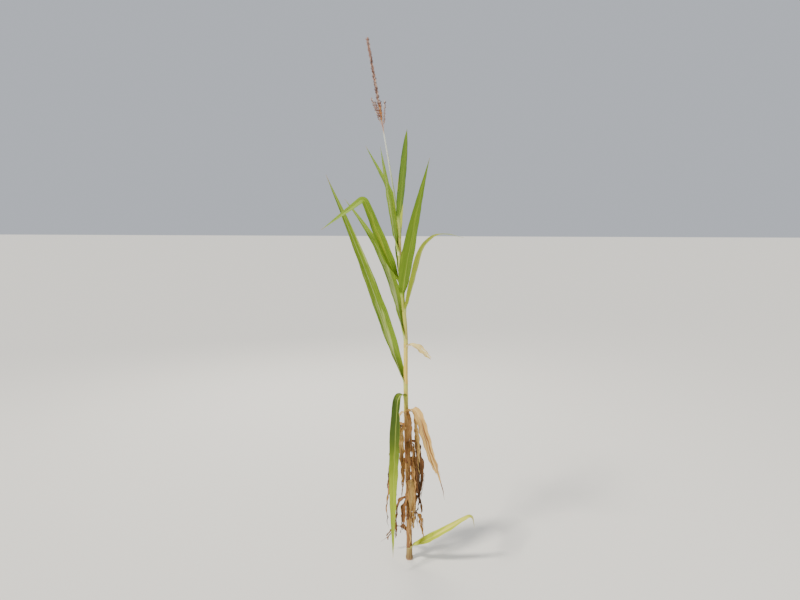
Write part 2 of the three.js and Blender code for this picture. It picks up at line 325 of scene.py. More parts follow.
class Graph:
    """A node tree that grows as formulas are written."""

    def __init__(self, tree: bpy.types.NodeTree) -> None:
        """Starts on a tree."""
        self.tree = tree

    def node(self, kind: str, inputs: dict[str | int, object] | None = None,
             **settings: object) -> bpy.types.Node:
        """Adds a node.

        Args:
            kind: The node's type.
            inputs: What each input is fed, by its name, identifier or number.
            **settings: The node's own options.

        Returns:
            The new node.
        """
        made = self.tree.nodes.new(kind)
        for name, value in settings.items():
            setattr(made, name, value)
        for key, value in (inputs or {}).items():
            self.feed(self.find(made.inputs, key), value)
        return made

    @staticmethod
    def find(sockets: Sequence[bpy.types.NodeSocket], key: str | int) -> bpy.types.NodeSocket:
        """Finds a socket by its number, or the first one in use by its identifier or its name.

        Args:
            sockets: A node's inputs or outputs.
            key: The number, the identifier or the name.

        Returns:
            The socket.
        """
        if isinstance(key, int):
            return sockets[key]
        return next(s for s in sockets if s.enabled and key in (s.identifier, s.name))

    def feed(self, socket: bpy.types.NodeSocket, value: object) -> None:
        """Links a value of the graph into a socket, or sets a plain one there.

        Args:
            socket: A node's input.
            value: What it is fed.
        """
        if isinstance(value, Field):
            self.tree.links.new(value.socket, socket)
        else:
            socket.default_value = value

    def out(self, node: bpy.types.Node, key: str | int = 0) -> Field:
        """A node's output as a value."""
        return Field(self, self.find(node.outputs, key))

    def add(self, kind: str, inputs: dict[str | int, object] | None = None, **settings: object) -> Field:
        """Adds a node and gives its first output in use."""
        made = self.node(kind, inputs, **settings)
        return Field(self, next(s for s in made.outputs if s.enabled))

    def math(self, operation: str, *values: Operand) -> Field:
        """A Math node on plain numbers."""
        return self.add("ShaderNodeMath", dict(enumerate(values)), operation=operation)

    def vector_math(self, operation: str, *values: Operand) -> Field:
        """A Vector Math node."""
        return self.add("ShaderNodeVectorMath", dict(enumerate(values)), operation=operation)

    def scaled(self, vector: Operand, scale: Operand) -> Field:
        """A vector times a number."""
        return self.add("ShaderNodeVectorMath", {"Vector": vector, "Scale": scale}, operation="SCALE")

    def mapped(self, value: Operand, low: Operand, high: Operand, kind: str) -> Field:
        """A value taken from the range low to high into 0 to 1."""
        inputs = {"Value": value, "From Min": low, "From Max": high}
        return self.add("ShaderNodeMapRange", inputs, interpolation_type=kind)

    def vector(self, x: Operand, y: Operand, z: Operand = 0.0) -> Field:
        """A vector from its three components."""
        return self.add("ShaderNodeCombineXYZ", {"X": x, "Y": y, "Z": z})

    def parts(self, vector: Field) -> list[Field]:
        """The three components of a vector."""
        split = self.node("ShaderNodeSeparateXYZ", {"Vector": vector})
        return [self.out(split, axis) for axis in "XYZ"]

    def blended(self, share: Operand, first: Field, second: Field) -> Field:
        """Two vectors mixed, the first where share is 0 and the second where it is 1."""
        return first + (second - first) * share

    def noise(self, place: Operand, scale: float = 1.0, detail: float = 2.0, roughness: float = 0.5,
              output: str = "Fac") -> Field:
        """Noise about a half, as a number, or as three with the output Color."""
        inputs = {"Vector": place, "Scale": scale, "Detail": detail, "Roughness": roughness}
        return self.out(self.node("ShaderNodeTexNoise", inputs), output)


class GeometryTree(Graph):
    """A Geometry Nodes tree with named inputs, which turns a path into a mesh."""

    def __init__(self, name: str) -> None:
        """Makes the tree with its geometry input and output.

        Args:
            name: The tree's name.
        """
        super().__init__(bpy.data.node_groups.new(name, "GeometryNodeTree"))
        self.identifiers: dict[str, str] = {}
        self.tree.interface.new_socket(name="Path", in_out="INPUT", socket_type="NodeSocketGeometry")
        self.tree.interface.new_socket(name="Mesh", in_out="OUTPUT", socket_type="NodeSocketGeometry")
        self.entry = self.tree.nodes.new("NodeGroupInput")
        self.exit = self.tree.nodes.new("NodeGroupOutput")
        self.path = self.out(self.entry)
        self.position = self.add("GeometryNodeInputPosition")

    def size(self, name: str, kind: str = "Float") -> Field:
        """Adds a named input.

        Args:
            name: The input's name.
            kind: Float, Int, Object or Material.

        Returns:
            The input's value.
        """
        made = self.tree.interface.new_socket(name=name, in_out="INPUT", socket_type=f"NodeSocket{kind}")
        self.identifiers[name] = made.identifier
        return self.out(self.entry, made.identifier)

    def attribute(self, name: str, kind: str = "FLOAT") -> Field:
        """A named value of the geometry that asks for it."""
        return self.add("GeometryNodeInputNamedAttribute", {"Name": name}, data_type=kind)

    def stored(self, mesh: Field, name: str, value: Operand, kind: str = "FLOAT", domain: str = "POINT",
               where: Field | bool = True) -> Field:
        """The mesh with a named value stored on the elements of a domain, where they are selected."""
        inputs = {"Geometry": mesh, "Selection": where, "Name": name, "Value": value}
        return self.add("GeometryNodeStoreNamedAttribute", inputs, data_type=kind, domain=domain)

    def moved(self, mesh: Field, place: Field) -> Field:
        """The mesh with its points at new places."""
        return self.add("GeometryNodeSetPosition", {"Geometry": mesh, "Position": place})

    def welded(self, mesh: Field) -> Field:
        """The mesh with points that coincide made one."""
        return self.add("GeometryNodeMergeByDistance", {"Geometry": mesh, "Distance": WELD_DISTANCE})

    def without(self, mesh: Field, gone: Field, domain: str) -> Field:
        """The mesh with the selected elements deleted."""
        inputs = {"Geometry": mesh, "Selection": gone}
        return self.add("GeometryNodeDeleteGeometry", inputs, domain=domain)

    def together(self, *meshes: Field) -> Field:
        """Joins meshes.

        Args:
            *meshes: The meshes.

        Returns:
            All of them as one.
        """
        made = self.node("GeometryNodeJoinGeometry")
        for mesh in meshes:
            self.tree.links.new(mesh.socket, made.inputs[0])
        return self.out(made)

    def swept(self, curve: Field, sides: Operand, girth: Field, mark: str = "") -> Field:
        """Sweeps a ring along a curve and closes both ends.

        Args:
            curve: The curve.
            sides: How many sides the ring has.
            girth: Its radius along the curve.
            mark: Names a value from 0 to 1 round the ring, where it is given.

        Returns:
            The mesh.
        """
        ring = self.add("GeometryNodeCurvePrimitiveCircle", {"Resolution": sides, "Radius": 1.0})
        if mark:
            ring = self.stored(ring, mark, self.out(self.node("GeometryNodeSplineParameter"), "Factor"))
        inputs = {"Curve": curve, "Profile Curve": ring, "Scale": girth, "Fill Caps": True}
        return self.add("GeometryNodeCurveToMesh", inputs)

    def finished(self, mesh: Field, *materials: tuple[Field, Field | bool]) -> None:
        """Ends the tree with real faces, smooth shading and the materials.

        Args:
            mesh: The mesh, with or without instances.
            *materials: Each material and the faces that get it, where a later one takes over.
        """
        mesh = self.add("GeometryNodeRealizeInstances", {"Geometry": mesh})
        mesh = self.add("GeometryNodeSetShadeSmooth", {"Geometry": mesh})
        for material, where in materials:
            inputs = {"Geometry": mesh, "Selection": where, "Material": material}
            mesh = self.add("GeometryNodeSetMaterial", inputs)
        self.feed(self.exit.inputs[0], mesh)

    def grow(self, name: str, path: bpy.types.Mesh, sizes: dict[str, object]) -> bpy.types.Object:
        """Runs the tree on a path and keeps the result as a plain mesh.

        Args:
            name: The piece's name.
            path: The path's points, with the values that the tree reads.
            sizes: The value of each named input.

        Returns:
            An object at the origin with no modifier.
        """
        piece = placed(name, path)
        modifier = piece.modifiers.new(self.tree.name, "NODES")
        modifier.node_group = self.tree
        for label, identifier in self.identifiers.items():
            modifier[identifier] = sizes[label]
        view = bpy.context.evaluated_depsgraph_get()
        made = bpy.data.meshes.new_from_object(piece.evaluated_get(view), depsgraph=view)
        piece.modifiers.remove(modifier)
        piece.data = made
        made.name = name
        made.set_sharp_from_angle(angle=math.radians(SHARP_FROM))
        return piece


def path_mesh(name: str, points: np.ndarray, values: dict[str, np.ndarray]) -> bpy.types.Mesh:
    """A chain of points with named values on them, for a tree to follow.

    Args:
        name: The mesh's name.
        points: One row for each point.
        values: Numbers or vectors for each point.

    Returns:
        A mesh of vertices and the edges between neighbours.
    """
    mesh = bpy.data.meshes.new(f"{name}_path")
    edges = [(order, order + 1) for order in range(len(points) - 1)]
    mesh.from_pydata([tuple(point) for point in points], edges, [])
    for label, value in values.items():
        is_vector = value.ndim > 1
        made = mesh.attributes.new(label, "FLOAT_VECTOR" if is_vector else "FLOAT", "POINT")
        made.data.foreach_set("vector" if is_vector else "value", value.astype(np.float32).ravel())
    return mesh


class ShaderGraph(Graph):
    """A material's node tree, in which a text stands for a colour as a screen shows it."""

    def __init__(self, name: str) -> None:
        """Makes the material with an empty tree.

        Args:
            name: The material's name.
        """
        self.material = bpy.data.materials.new(name)
        self.material.use_nodes = True
        super().__init__(self.material.node_tree)
        self.tree.nodes.clear()
        self.place = self.out(self.node("ShaderNodeTexCoord"), "Object")

    def stored(self, name: str) -> Field:
        """A value that the piece's tree stored on its mesh."""
        return self.out(self.node("ShaderNodeAttribute", attribute_name=name), "Fac")

    def over(self, base: Paint, share: Operand, top: Paint) -> Field:
        """Lays a colour over another.

        Args:
            base: The colour beneath.
            share: How much of it is hidden, from 0 to 1.
            top: The colour on top.

        Returns:
            The two mixed.
        """
        first, second = (colour(paint) if isinstance(paint, str) else paint for paint in (base, top))
        inputs = {"Factor_Float": share, "A_Color": first, "B_Color": second}
        return self.out(self.node("ShaderNodeMix", inputs, data_type="RGBA"), "Result_Color")

    def finished(self, base: Field, roughness: Operand, gloss: float,
                 relief: Field | None = None) -> bpy.types.Material:
        """Ends the tree with its shader.

        Args:
            base: The colour.
            roughness: How dull the surface is.
            gloss: The shader's own level of specular light.
            relief: A bump in the surface, or none.

        Returns:
            The material.
        """
        inputs = {"Base Color": base, "Roughness": roughness, "Specular IOR Level": gloss}
        if relief is not None:
            inputs["Normal"] = relief
        shader = self.out(self.node("ShaderNodeBsdfPrincipled", inputs))
        self.node("ShaderNodeOutputMaterial", {"Surface": shader})
        return self.material

    def bump(self, height: Field, distance: float, strength: float) -> Field:
        """Raises the surface by a height, which is a distance where it is 1."""
        inputs = {"Height": height, "Distance": distance, "Strength": strength}
        return self.add("ShaderNodeBump", inputs)


class LeafGraph(ShaderGraph):
    """A leaf's material tree, with the patterns that its blade and its sheath are painted with."""

    def __init__(self, finish: "LeafFinish") -> None:
        """Draws the streaks, the stripes, which are partly painted sheen on green leaves, the marks,
        blotches and veins.

        Args:
            finish: Sets how close the stripes and the veins lie.
        """
        super().__init__(finish.name)
        names = ("across", "along", "metres", "lateral", "underside", "midrib")
        values = [self.stored(name) for name in names]
        self.across, self.along, self.metres, self.lateral, self.underside, self.rib = values
        above = self.underside + 0.4
        self.streaks = self._fibres(narrow=0.5, close=5.0, layer=self.underside * 3.0)
        self.stripes_and_sheen = self._fibres(finish.stripe_and_sheen_narrow, close=4.0, layer=above, detail=3.0)
        self.marks = self._fibres(narrow=0.14, close=16.0, layer=0.7, roughness=0.65)
        self.blotches = self.noise(self.place, scale=14.0, detail=4.0, roughness=0.6)
        self.veins = (self.lateral * (FULL_TURN / finish.vein_apart)).cos()
        self.vein_share = self.veins * 0.5 + 0.5

    def _fibres(self, narrow: float, close: float, layer: Operand, detail: float = 4.0,
                roughness: float = 0.6) -> Field:
        """Noise that changes fast for each millimetre across and slowly for each metre along."""
        place = self.vector(self.lateral * narrow, self.metres * close, layer)
        return self.noise(place, detail=detail, roughness=roughness)


@dataclass(frozen=True)
class LeafFinish:
    """The colours of one kind of leaf, with its painted shade and its partly painted sheen, and how its
    marks are spread.
    """

    name: str
    slot: Slot
    light: str
    deep: str
    under: str
    # The stripe colour: pale on green leaves, where it is partly painted sheen, and dark marks on dry
    # ones.
    stripe_and_sheen: str
    rib: str
    margin: str
    tip: str
    sheath_top: str
    sheath_foot: str
    sheath_mark: str
    # Painted shade: a darker green laid over part of the blade for the shadow that other leaves cast on
    # it. By default it lies past the tip, so it shows on no leaf.
    painted_shade: str = "3d5620"
    painted_shade_from: float = 3.0
    painted_shade_to: float = 4.0
    stripe_and_sheen_from: float = 0.56
    stripe_and_sheen_narrow: float = 0.08
    tip_from: float = 0.965
    mark_from: float = 0.62
    rib_share: float = 0.6
    margin_from: float = 0.86
    margin_share: float = 0.6
    roughness: float = 0.55
    vein_depth: float = 0.0002
    vein_apart: float = 2.6

    STREAKS = (0.36, 0.66)
    UNDER_SHARE = 0.5
    STRIPE_AND_SHEEN_SOFT = 0.14
    VEIN_SHARE = 0.12
    RAGGED_BY = 0.12
    ARCHED_BY = 0.03
    STREAKY_BY = 0.30
    # How the band of painted shade fades in and out along the blade, and how strong it is.
    PAINTED_SHADE_RISE = (0.05, 0.10)
    PAINTED_SHADE_FALL = (0.24, 0.14)
    PAINTED_SHADE_LEAST = 0.74
    PAINTED_SHADE_VARIES_BY = 0.3
    MARGIN_TO = 0.99
    MARGIN_BREAKS = (0.3, 0.6)
    RIB_EDGE = (0.3, 0.9)
    TIP_SOFT = 0.06
    SHEATH_STREAKS = (0.42, 0.72)
    SHEATH_STREAK_SHARE = 0.55
    MARK_SOFT = 0.12
    SHEATH_VEIN_SHARE = 0.14
    BLADE_FROM = (-0.004, 0.016)
    COLLAR_RISE = (-0.006, 0.001)
    COLLAR_FALL = (0.008, 0.022)
    COLLAR_SHARE = 0.65
    ROUGHNESS_VARIES_BY = 0.2
    RIB_ROUGHER_BY = 0.06
    GLOSS = 0.24
    VEIN_RELIEF = 0.5
    STREAK_RELIEF = 1.2
    RELIEF_STRENGTH = 0.8

    @cache
    def material(self) -> bpy.types.Material:
        """Builds the finish from the values that the leaf's tree stores on its mesh.

        Returns:
            The material, which is made once.
        """
        graph = LeafGraph(self)
        base = graph.over(self._sheath(graph), graph.metres.eased(*self.BLADE_FROM), self._blade(graph))
        collar = graph.metres.eased(*self.COLLAR_RISE) * (1.0 - graph.metres.eased(*self.COLLAR_FALL))
        base = graph.over(base, collar * self.COLLAR_SHARE, self.rib)
        roughness = self.roughness + (graph.blotches - 0.5) * self.ROUGHNESS_VARIES_BY
        height = graph.veins * self.VEIN_RELIEF + graph.streaks * self.STREAK_RELIEF
        relief = graph.bump(height, self.vein_depth, self.RELIEF_STRENGTH)
        return graph.finished(base, roughness + graph.rib * self.RIB_ROUGHER_BY, self.GLOSS, relief)

    def _blade(self, graph: LeafGraph) -> Field:
        """Paints the blade with its streaks, pale stripes that are partly painted sheen, a band of
        painted shade, margins, midrib and dry tip.

        Args:
            graph: The patterns.

        Returns:
            The blade's colour.
        """
        blade = graph.over(self.light, graph.streaks.eased(*self.STREAKS), self.deep)
        blade = graph.over(blade, graph.underside * self.UNDER_SHARE, self.under)
        # Long stripes in the stripe colour: on green leaves pale and partly painted sheen along the
        # blade, on dry leaves dark marks.
        stripe_and_sheen_share = graph.stripes_and_sheen.eased(self.stripe_and_sheen_from, self.stripe_and_sheen_from + self.STRIPE_AND_SHEEN_SOFT)
        blade = graph.over(blade, stripe_and_sheen_share, self.stripe_and_sheen)
        blade = graph.over(blade, graph.vein_share * self.VEIN_SHARE, self.light)
        ragged = graph.along + (graph.blotches - 0.5) * self.RAGGED_BY
        ragged = ragged + abs(graph.across) * self.ARCHED_BY
        streaky = ragged + (graph.streaks - 0.5) * self.STREAKY_BY
        # Painted shade: a band of darker green between the two shares along the blade that the finish
        # gives, with ragged, streaky edges.
        starts = streaky.eased(self.painted_shade_from - self.PAINTED_SHADE_RISE[0], self.painted_shade_from + self.PAINTED_SHADE_RISE[1])
        ends = streaky.eased(self.painted_shade_to - self.PAINTED_SHADE_FALL[0], self.painted_shade_to + self.PAINTED_SHADE_FALL[1])
        strength = self.PAINTED_SHADE_LEAST + graph.streaks * self.PAINTED_SHADE_VARIES_BY
        blade = graph.over(blade, starts * (1.0 - ends) * strength, self.painted_shade)
        edge = abs(graph.across).eased(self.margin_from, self.MARGIN_TO)
        broken = edge * graph.blotches.eased(*self.MARGIN_BREAKS)
        blade = graph.over(blade, broken * self.margin_share, self.margin)
        blade = graph.over(blade, graph.rib.eased(*self.RIB_EDGE) * self.rib_share, self.rib)
        return graph.over(blade, ragged.eased(self.tip_from, self.tip_from + self.TIP_SOFT), self.tip)

    def _sheath(self, graph: LeafGraph) -> Field:
        """Paints the sheath from its foot to its top, with streaks, marks and veins.

        Args:
            graph: The patterns.

        Returns:
            The sheath's colour.
        """
        sheath = graph.over(self.sheath_foot, (graph.along + 1.0).eased(0.0, 1.0), self.sheath_top)
        streaked = graph.streaks.eased(*self.SHEATH_STREAKS) * self.SHEATH_STREAK_SHARE
        sheath = graph.over(sheath, streaked, self.sheath_foot)
        marked = graph.marks.eased(self.mark_from, self.mark_from + self.MARK_SOFT)
        sheath = graph.over(sheath, marked, self.sheath_mark)
        return graph.over(sheath, graph.vein_share * self.SHEATH_VEIN_SHARE, self.rib)


LUSH = LeafFinish(
    "lush_leaf", Slot.GREEN_LEAF, light="8ba424", deep="52750f", under="95a82a", stripe_and_sheen="a3ae2a",
    rib="b0be4c", margin="67831a", tip="a98443", sheath_top="b2bb50", sheath_foot="a7a24a",
    sheath_mark="c39d48")
DEEP = LeafFinish(
    "deep_leaf", Slot.GREEN_LEAF, light="6e8e12", deep="3f6407", under="7c981c", stripe_and_sheen="88a01e",
    rib="a2b846", margin="587513", tip="a3843e", sheath_top="b2bb50", sheath_foot="a7a24a",
    sheath_mark="c39d48", roughness=0.6)
# The glazed and glossy leaves have pale stripes that are partly painted sheen, a highlight laid into the
# colour along the blade.
GLAZED = LeafFinish(
    "glazed_leaf", Slot.GREEN_LEAF, light="8fa52c", deep="557a1a", under="97aa38", stripe_and_sheen="b0bf66",
    rib="c9d394", margin="7f922f", tip="a98a45", sheath_top="c3c552", sheath_foot="d6bd54",
    sheath_mark="cc8c3a", stripe_and_sheen_from=0.52, stripe_and_sheen_narrow=0.045, mark_from=0.56, rib_share=0.8,
    roughness=0.5)
GLOSSY = replace(
    GLAZED, name="glossy_leaf", light="a2b83e", deep="6c9028", under="acbc48", stripe_and_sheen="c8d48c")
RIBBED = LeafFinish(
    "ribbed_leaf", Slot.GREEN_LEAF, light="aac244", deep="789c2c", under="aebf48", stripe_and_sheen="c0ce5c",
    rib="e6e9b8", margin="7c9036", tip="9f9146", sheath_top="b9c35e", sheath_foot="a8ad50",
    sheath_mark="bda850", rib_share=1.0)
EDGED = LeafFinish(
    "edged_leaf", Slot.GREEN_LEAF, light="7a9626", deep="567a1c", under="72902a", stripe_and_sheen="8a9f2e",
    rib="9db04a", margin="3c5c14", tip="7f8c3a", sheath_top="bcc66a", sheath_foot="acb458",
    sheath_mark="bcae58", margin_from=0.42, margin_share=0.95)
# The hanging leaf: its dark band over the half nearest the collar is painted shade, the shadow that the
# leaves above cast on it.
SHADED = LeafFinish(
    "shaded_leaf", Slot.GREEN_LEAF, light="a4b124", deep="698614", under="a2ad34", stripe_and_sheen="b4b83a",
    rib="b3be58", margin="8d9a3a", tip="b39a50", sheath_top="bcbc52", sheath_foot="b7a24e",
    sheath_mark="b98541", painted_shade="2a4410", painted_shade_from=0.02, painted_shade_to=0.52)
SUNNY = LeafFinish(
    "sunny_leaf", Slot.GREEN_LEAF, light="a0ae20", deep="768c16", under="a4b02c", stripe_and_sheen="b6bd44",
    rib="c3cb70", margin="aea845", tip="8f9440", sheath_top="c4c45c", sheath_foot="b8ac50",
    sheath_mark="cda550", stripe_and_sheen_from=0.54)
LIMED = LeafFinish(
    "limed_leaf", Slot.YELLOWING_LEAF, light="b3ba22", deep="8b9d18", under="b9be34", stripe_and_sheen="cbc74e",
    rib="d2d27c", margin="bdb250", tip="d2c98f", sheath_top="9c8048", sheath_foot="75553a",
    sheath_mark="5f3e26", stripe_and_sheen_from=0.52, tip_from=0.86)
YELLOWED = LeafFinish(
    "yellowed_leaf", Slot.YELLOWING_LEAF, light="abb128", deep="88971e", under="b1b338",
    stripe_and_sheen="c5b83e", rib="cac778", margin="bba04c", tip="ab8a4a", sheath_top="c6c268",
    sheath_foot="bba458", sheath_mark="bd8442", stripe_and_sheen_from=0.5, tip_from=0.9)
STRAW = LeafFinish(
    "straw_leaf", Slot.DRY_LEAF, light="dfbd70", deep="b28142", under="d6b268", stripe_and_sheen="7d4f26",
    rib="e6cb94", margin="95602f", tip="6d4322", sheath_top="cfae6c", sheath_foot="ad7d48",
    sheath_mark="7d4c27", stripe_and_sheen_from=0.53, tip_from=0.84, roughness=0.8, vein_depth=0.0005,
    vein_apart=3.2)
TAN = LeafFinish(
    "tan_leaf", Slot.DRY_LEAF, light="be9052", deep="865a32", under="b4894e", stripe_and_sheen="57391f",
    rib="cdaa6e", margin="6d4828", tip="4a301c", sheath_top="b68e52", sheath_foot="94683f",
    sheath_mark="5e3c22", stripe_and_sheen_from=0.52, tip_from=0.84, roughness=0.82, vein_depth=0.0005,
    vein_apart=3.2)
BROWN = LeafFinish(
    "brown_leaf", Slot.DRY_LEAF, light="94653a", deep="5a3c22", under="865f3a", stripe_and_sheen="342417",
    rib="a87f50", margin="493120", tip="2d1f13", sheath_top="9a7044", sheath_foot="7a5335",
    sheath_mark="3f2a18", stripe_and_sheen_from=0.48, tip_from=0.84, roughness=0.84, vein_depth=0.0005,
    vein_apart=3.2)
TORN = LeafFinish(
    "torn_leaf", Slot.DRY_LEAF, light="e7d78e", deep="c09c50", under="dcc67c", stripe_and_sheen="a5753c",
    rib="e8d7ac", margin="a5733a", tip="85562a", sheath_top="dccb5c", sheath_foot="dcbb48",
    sheath_mark="cf983a", stripe_and_sheen_from=0.56, tip_from=0.86, mark_from=0.57, roughness=0.75,
    vein_depth=0.0004, vein_apart=3.2)


@dataclass(frozen=True)
class Wear:
    """How far a leaf is rippled, crumpled and torn into strips."""

    ripple_height: float = 0.0012
    ripple_length: float = 0.140
    crumple_height: float = 0.0012
    crumple_size: float = 0.080
    tear_depth: float = 0.0
    tear_strips: float = 3.0
    strip_height: float = 0.0
    strip_loss: float = 0.0
    curl_at_collar: float = 1.3
    curl: float = 0.5
    curl_varies_by: float = 0.12
    keel: float = 0.75
    rib_height: float = 0.0018

    IN_TREE = ("ripple_height", "ripple_length", "crumple_height", "crumple_size", "tear_depth",
               "tear_strips", "strip_height", "strip_loss", "keel")

    @classmethod
    def labels(cls) -> dict[str, str]:
        """The sizes that the leaf's tree reads, and the name of the input for each."""
        return {name: name.replace("_", " ").title() for name in cls.IN_TREE}


FRESH = Wear()
SOFT = Wear(ripple_height=0.0022, ripple_length=0.110, crumple_height=0.0018)
WITHERED = Wear(ripple_height=0.004, ripple_length=0.050, crumple_height=0.0065, crumple_size=0.032,
                tear_depth=0.60, tear_strips=3.2, strip_height=0.018, strip_loss=0.35, curl_at_collar=0.9,
                curl=1.0, curl_varies_by=0.38, rib_height=0.0014)
LIMP = Wear(ripple_height=0.003, ripple_length=0.060, crumple_height=0.0040, crumple_size=0.050,
            tear_depth=0.30, tear_strips=2.2, strip_height=0.010, strip_loss=0.25, curl_at_collar=0.7,
            curl=1.15, curl_varies_by=0.3, rib_height=0.0014)
STRIP = Wear(ripple_height=0.002, ripple_length=0.045, crumple_height=0.0070, crumple_size=0.036,
             tear_depth=0.5, tear_strips=1.6, strip_height=0.008, strip_loss=0.4, curl_at_collar=0.6,
             curl=0.9, curl_varies_by=0.4, rib_height=0.0)
SHRED = Wear(ripple_height=0.003, ripple_length=0.040, crumple_height=0.0035, crumple_size=0.028,
             tear_depth=0.6, tear_strips=2.6, strip_height=0.010, strip_loss=0.5, curl=0.8,
             curl_varies_by=0.3, rib_height=0.001)

STRIP_FINISHES = (BROWN, TAN, STRAW, TAN)
STRIPS_AT_MOST = 10
STRIP_SPREAD = {
    "azimuth": (-70.0, 70.0), "length": (0.55, 0.95), "width": (0.014, 0.026), "rise": (14.0, 26.0),
    "bend": (150.0, 158.0), "sway": (-30.0, 30.0), "twist": (-220.0, 220.0)}
BENT_OVER_BY = 0.12
ROLL_FROM_COLLAR = 0.2
WIDEST_AT = 0.32
BASE_WIDTH_SHARE = 0.55
TIP_WIDTH = 0.0016


@dataclass(frozen=True)
class LeafShape:
    """One leaf by the named sizes of its solid: where it leaves the stalk, how it runs and looks."""

    node: str
    collar: float
    azimuth: float
    length: float
    width: float
    finish: LeafFinish
    rise: float = 30.0
    bend: float = 0.0
    bend_from: float = 0.0
    bend_to: float = 1.0
    sway: float = 0.0
    roll: float = 0.0
    twist: float = 0.0
    taper: float = 1.5
    wear: Wear = FRESH
    strips: int = 0

    def strip(self, number: int) -> "LeafShape":
        """A narrow strip torn from this leaf, which hangs from the same collar close to the stalk.

        Args:
            number: Which strip it is, from 1.

        Returns:
            The strip by the sizes of a leaf.
        """
        draw = np.random.default_rng(round(self.collar * MILLIMETRES) * STRIPS_AT_MOST + number)
        finish = STRIP_FINISHES[int(draw.integers(len(STRIP_FINISHES)))]
        drawn = {name: draw.uniform(low, high) for name, (low, high) in STRIP_SPREAD.items()}
        drawn["azimuth"] += self.azimuth
        drawn["length"] *= self.length
        return replace(self, finish=finish, wear=STRIP, bend_to=BENT_OVER_BY, roll=0.0, **drawn)

    def frames(self, share: np.ndarray) -> dict[str, np.ndarray]:
        """Directions of the blade at shares of its length.

        Args:
            share: Places from the collar, 0, to the tip, 1.

        Returns:
            Rows of out, side, along, across and facing directions.
        """
        bent = smooth((share - self.bend_from) / (self.bend_to - self.bend_from))
        tilt = np.radians(self.rise + self.bend * bent)
        azimuth = np.radians(self.azimuth + self.sway * share)
        roll = np.radians(self.roll + self.twist * share) * smooth(share / ROLL_FROM_COLLAR)
        up = np.zeros((len(share), 3)) + (0.0, 0.0, 1.0)
        out = level(azimuth)
        side = level(azimuth + np.pi / 2)
        face = turned(up, out, tilt - np.pi / 2)
        return {"out": out, "side": side, "along": turned(up, out, tilt),
                "across": turned(side, face, roll), "facing": turned(face, side, -roll)}

    def width_at(self, share: np.ndarray) -> np.ndarray:
        """Width of the blade.

        Args:
            share: Places from the collar, 0, to the tip, 1.

        Returns:
            The width at each place.
        """
        rising = lerp(BASE_WIDTH_SHARE, 1.0, np.sin(np.minimum(share / WIDEST_AT, 1.0) * np.pi / 2))
        past = np.maximum(share - WIDEST_AT, 0.0) / (1.0 - WIDEST_AT)
        falling = 1.0 - past ** self.taper
        return np.maximum(TIP_WIDTH, self.width * np.where(share < WIDEST_AT, rising, falling))


HANGING = {"bend": 147.0, "bend_to": BENT_OVER_BY, "wear": WITHERED}

LEAVES = (
    LeafShape("green_leaf_low", 0.062, -20, 0.402, 0.042, LIMED, rise=54, bend=114, bend_from=0.8,
              bend_to=0.9, sway=30, roll=40, wear=SOFT),
    LeafShape("dry_leaf_1", 0.128, 150, 0.220, 0.030, BROWN, rise=46, bend=96, bend_to=0.4, sway=40,
              twist=90, wear=WITHERED),
    LeafShape("dry_leaf_2", 0.206, 34, 0.190, 0.034, TAN, bend=140, bend_to=0.3, sway=-30, twist=-70,
              wear=WITHERED),
    LeafShape("dry_leaf_3", 0.292, -156, 0.280, 0.038, BROWN, bend=142, bend_to=0.18, sway=30, twist=80,
              wear=WITHERED, strips=2),
    LeafShape("dry_leaf_4", 0.384, -64, 0.370, 0.042, STRAW, bend=147, bend_to=0.14, sway=-20,
              twist=-100, wear=WITHERED, strips=3),
    LeafShape("dry_leaf_5", 0.482, 72, 0.460, 0.046, TAN, sway=24, twist=120, strips=4, **HANGING),
    LeafShape("dry_leaf_6", 0.566, -6, 0.480, 0.048, BROWN, sway=-12, twist=110, strips=5, **HANGING),
    LeafShape("dry_leaf_7", 0.640, 172, 0.560, 0.050, TAN, sway=-16, twist=-130, strips=4, **HANGING),
    LeafShape("dry_leaf_8", 0.712, -54, 0.500, 0.042, STRAW, rise=36, bend=112, bend_to=0.3, sway=16,
              twist=60, wear=LIMP, strips=4),
    LeafShape("green_leaf_1_hanging", 0.790, -114, 0.780, 0.052, SHADED, rise=40, bend=132,
              bend_to=0.12, sway=38, roll=8, wear=SOFT),
    LeafShape("green_leaf_2", 0.858, 165, 1.035, 0.064, GLAZED, rise=19, bend=7, roll=-30),
    LeafShape("dry_leaf_9_torn", 1.030, -24, 0.165, 0.036, TORN, rise=58, bend=64, bend_to=0.35,
              twist=60, wear=SHRED),
    LeafShape("green_leaf_3", 1.069, 172, 0.700, 0.060, GLOSSY, rise=9, bend=30, roll=-24, twist=-10),
    LeafShape("green_leaf_4_arching", 1.192, -17, 0.550, 0.042, SUNNY, rise=14, bend=85,
              bend_from=0.38, bend_to=0.92, sway=-22, roll=-5),
    LeafShape("green_leaf_5", 1.264, -74, 0.645, 0.060, DEEP, rise=30, bend=-10, sway=35),
    LeafShape("green_leaf_6_folded", 1.310, 193, 0.640, 0.050, LUSH, rise=22, bend=104,
              bend_from=0.62, bend_to=0.67, roll=-64),
    LeafShape("green_leaf_7", 1.362, 120, 0.830, 0.040, LUSH, rise=13, bend=43, bend_from=0.22,
              bend_to=0.62, roll=14),
    LeafShape("green_leaf_8", 1.448, 208, 0.478, 0.037, RIBBED, rise=9.5, bend_from=0.3, bend_to=0.8,
              roll=-60, taper=1.9),
    LeafShape("green_leaf_9", 1.530, 100, 0.530, 0.030, YELLOWED, rise=24, bend=18, sway=-14, roll=10,
              taper=2.2),
    LeafShape("green_leaf_10_flag", 1.605, -48, 0.388, 0.038, EDGED, rise=9, taper=3.2),
)


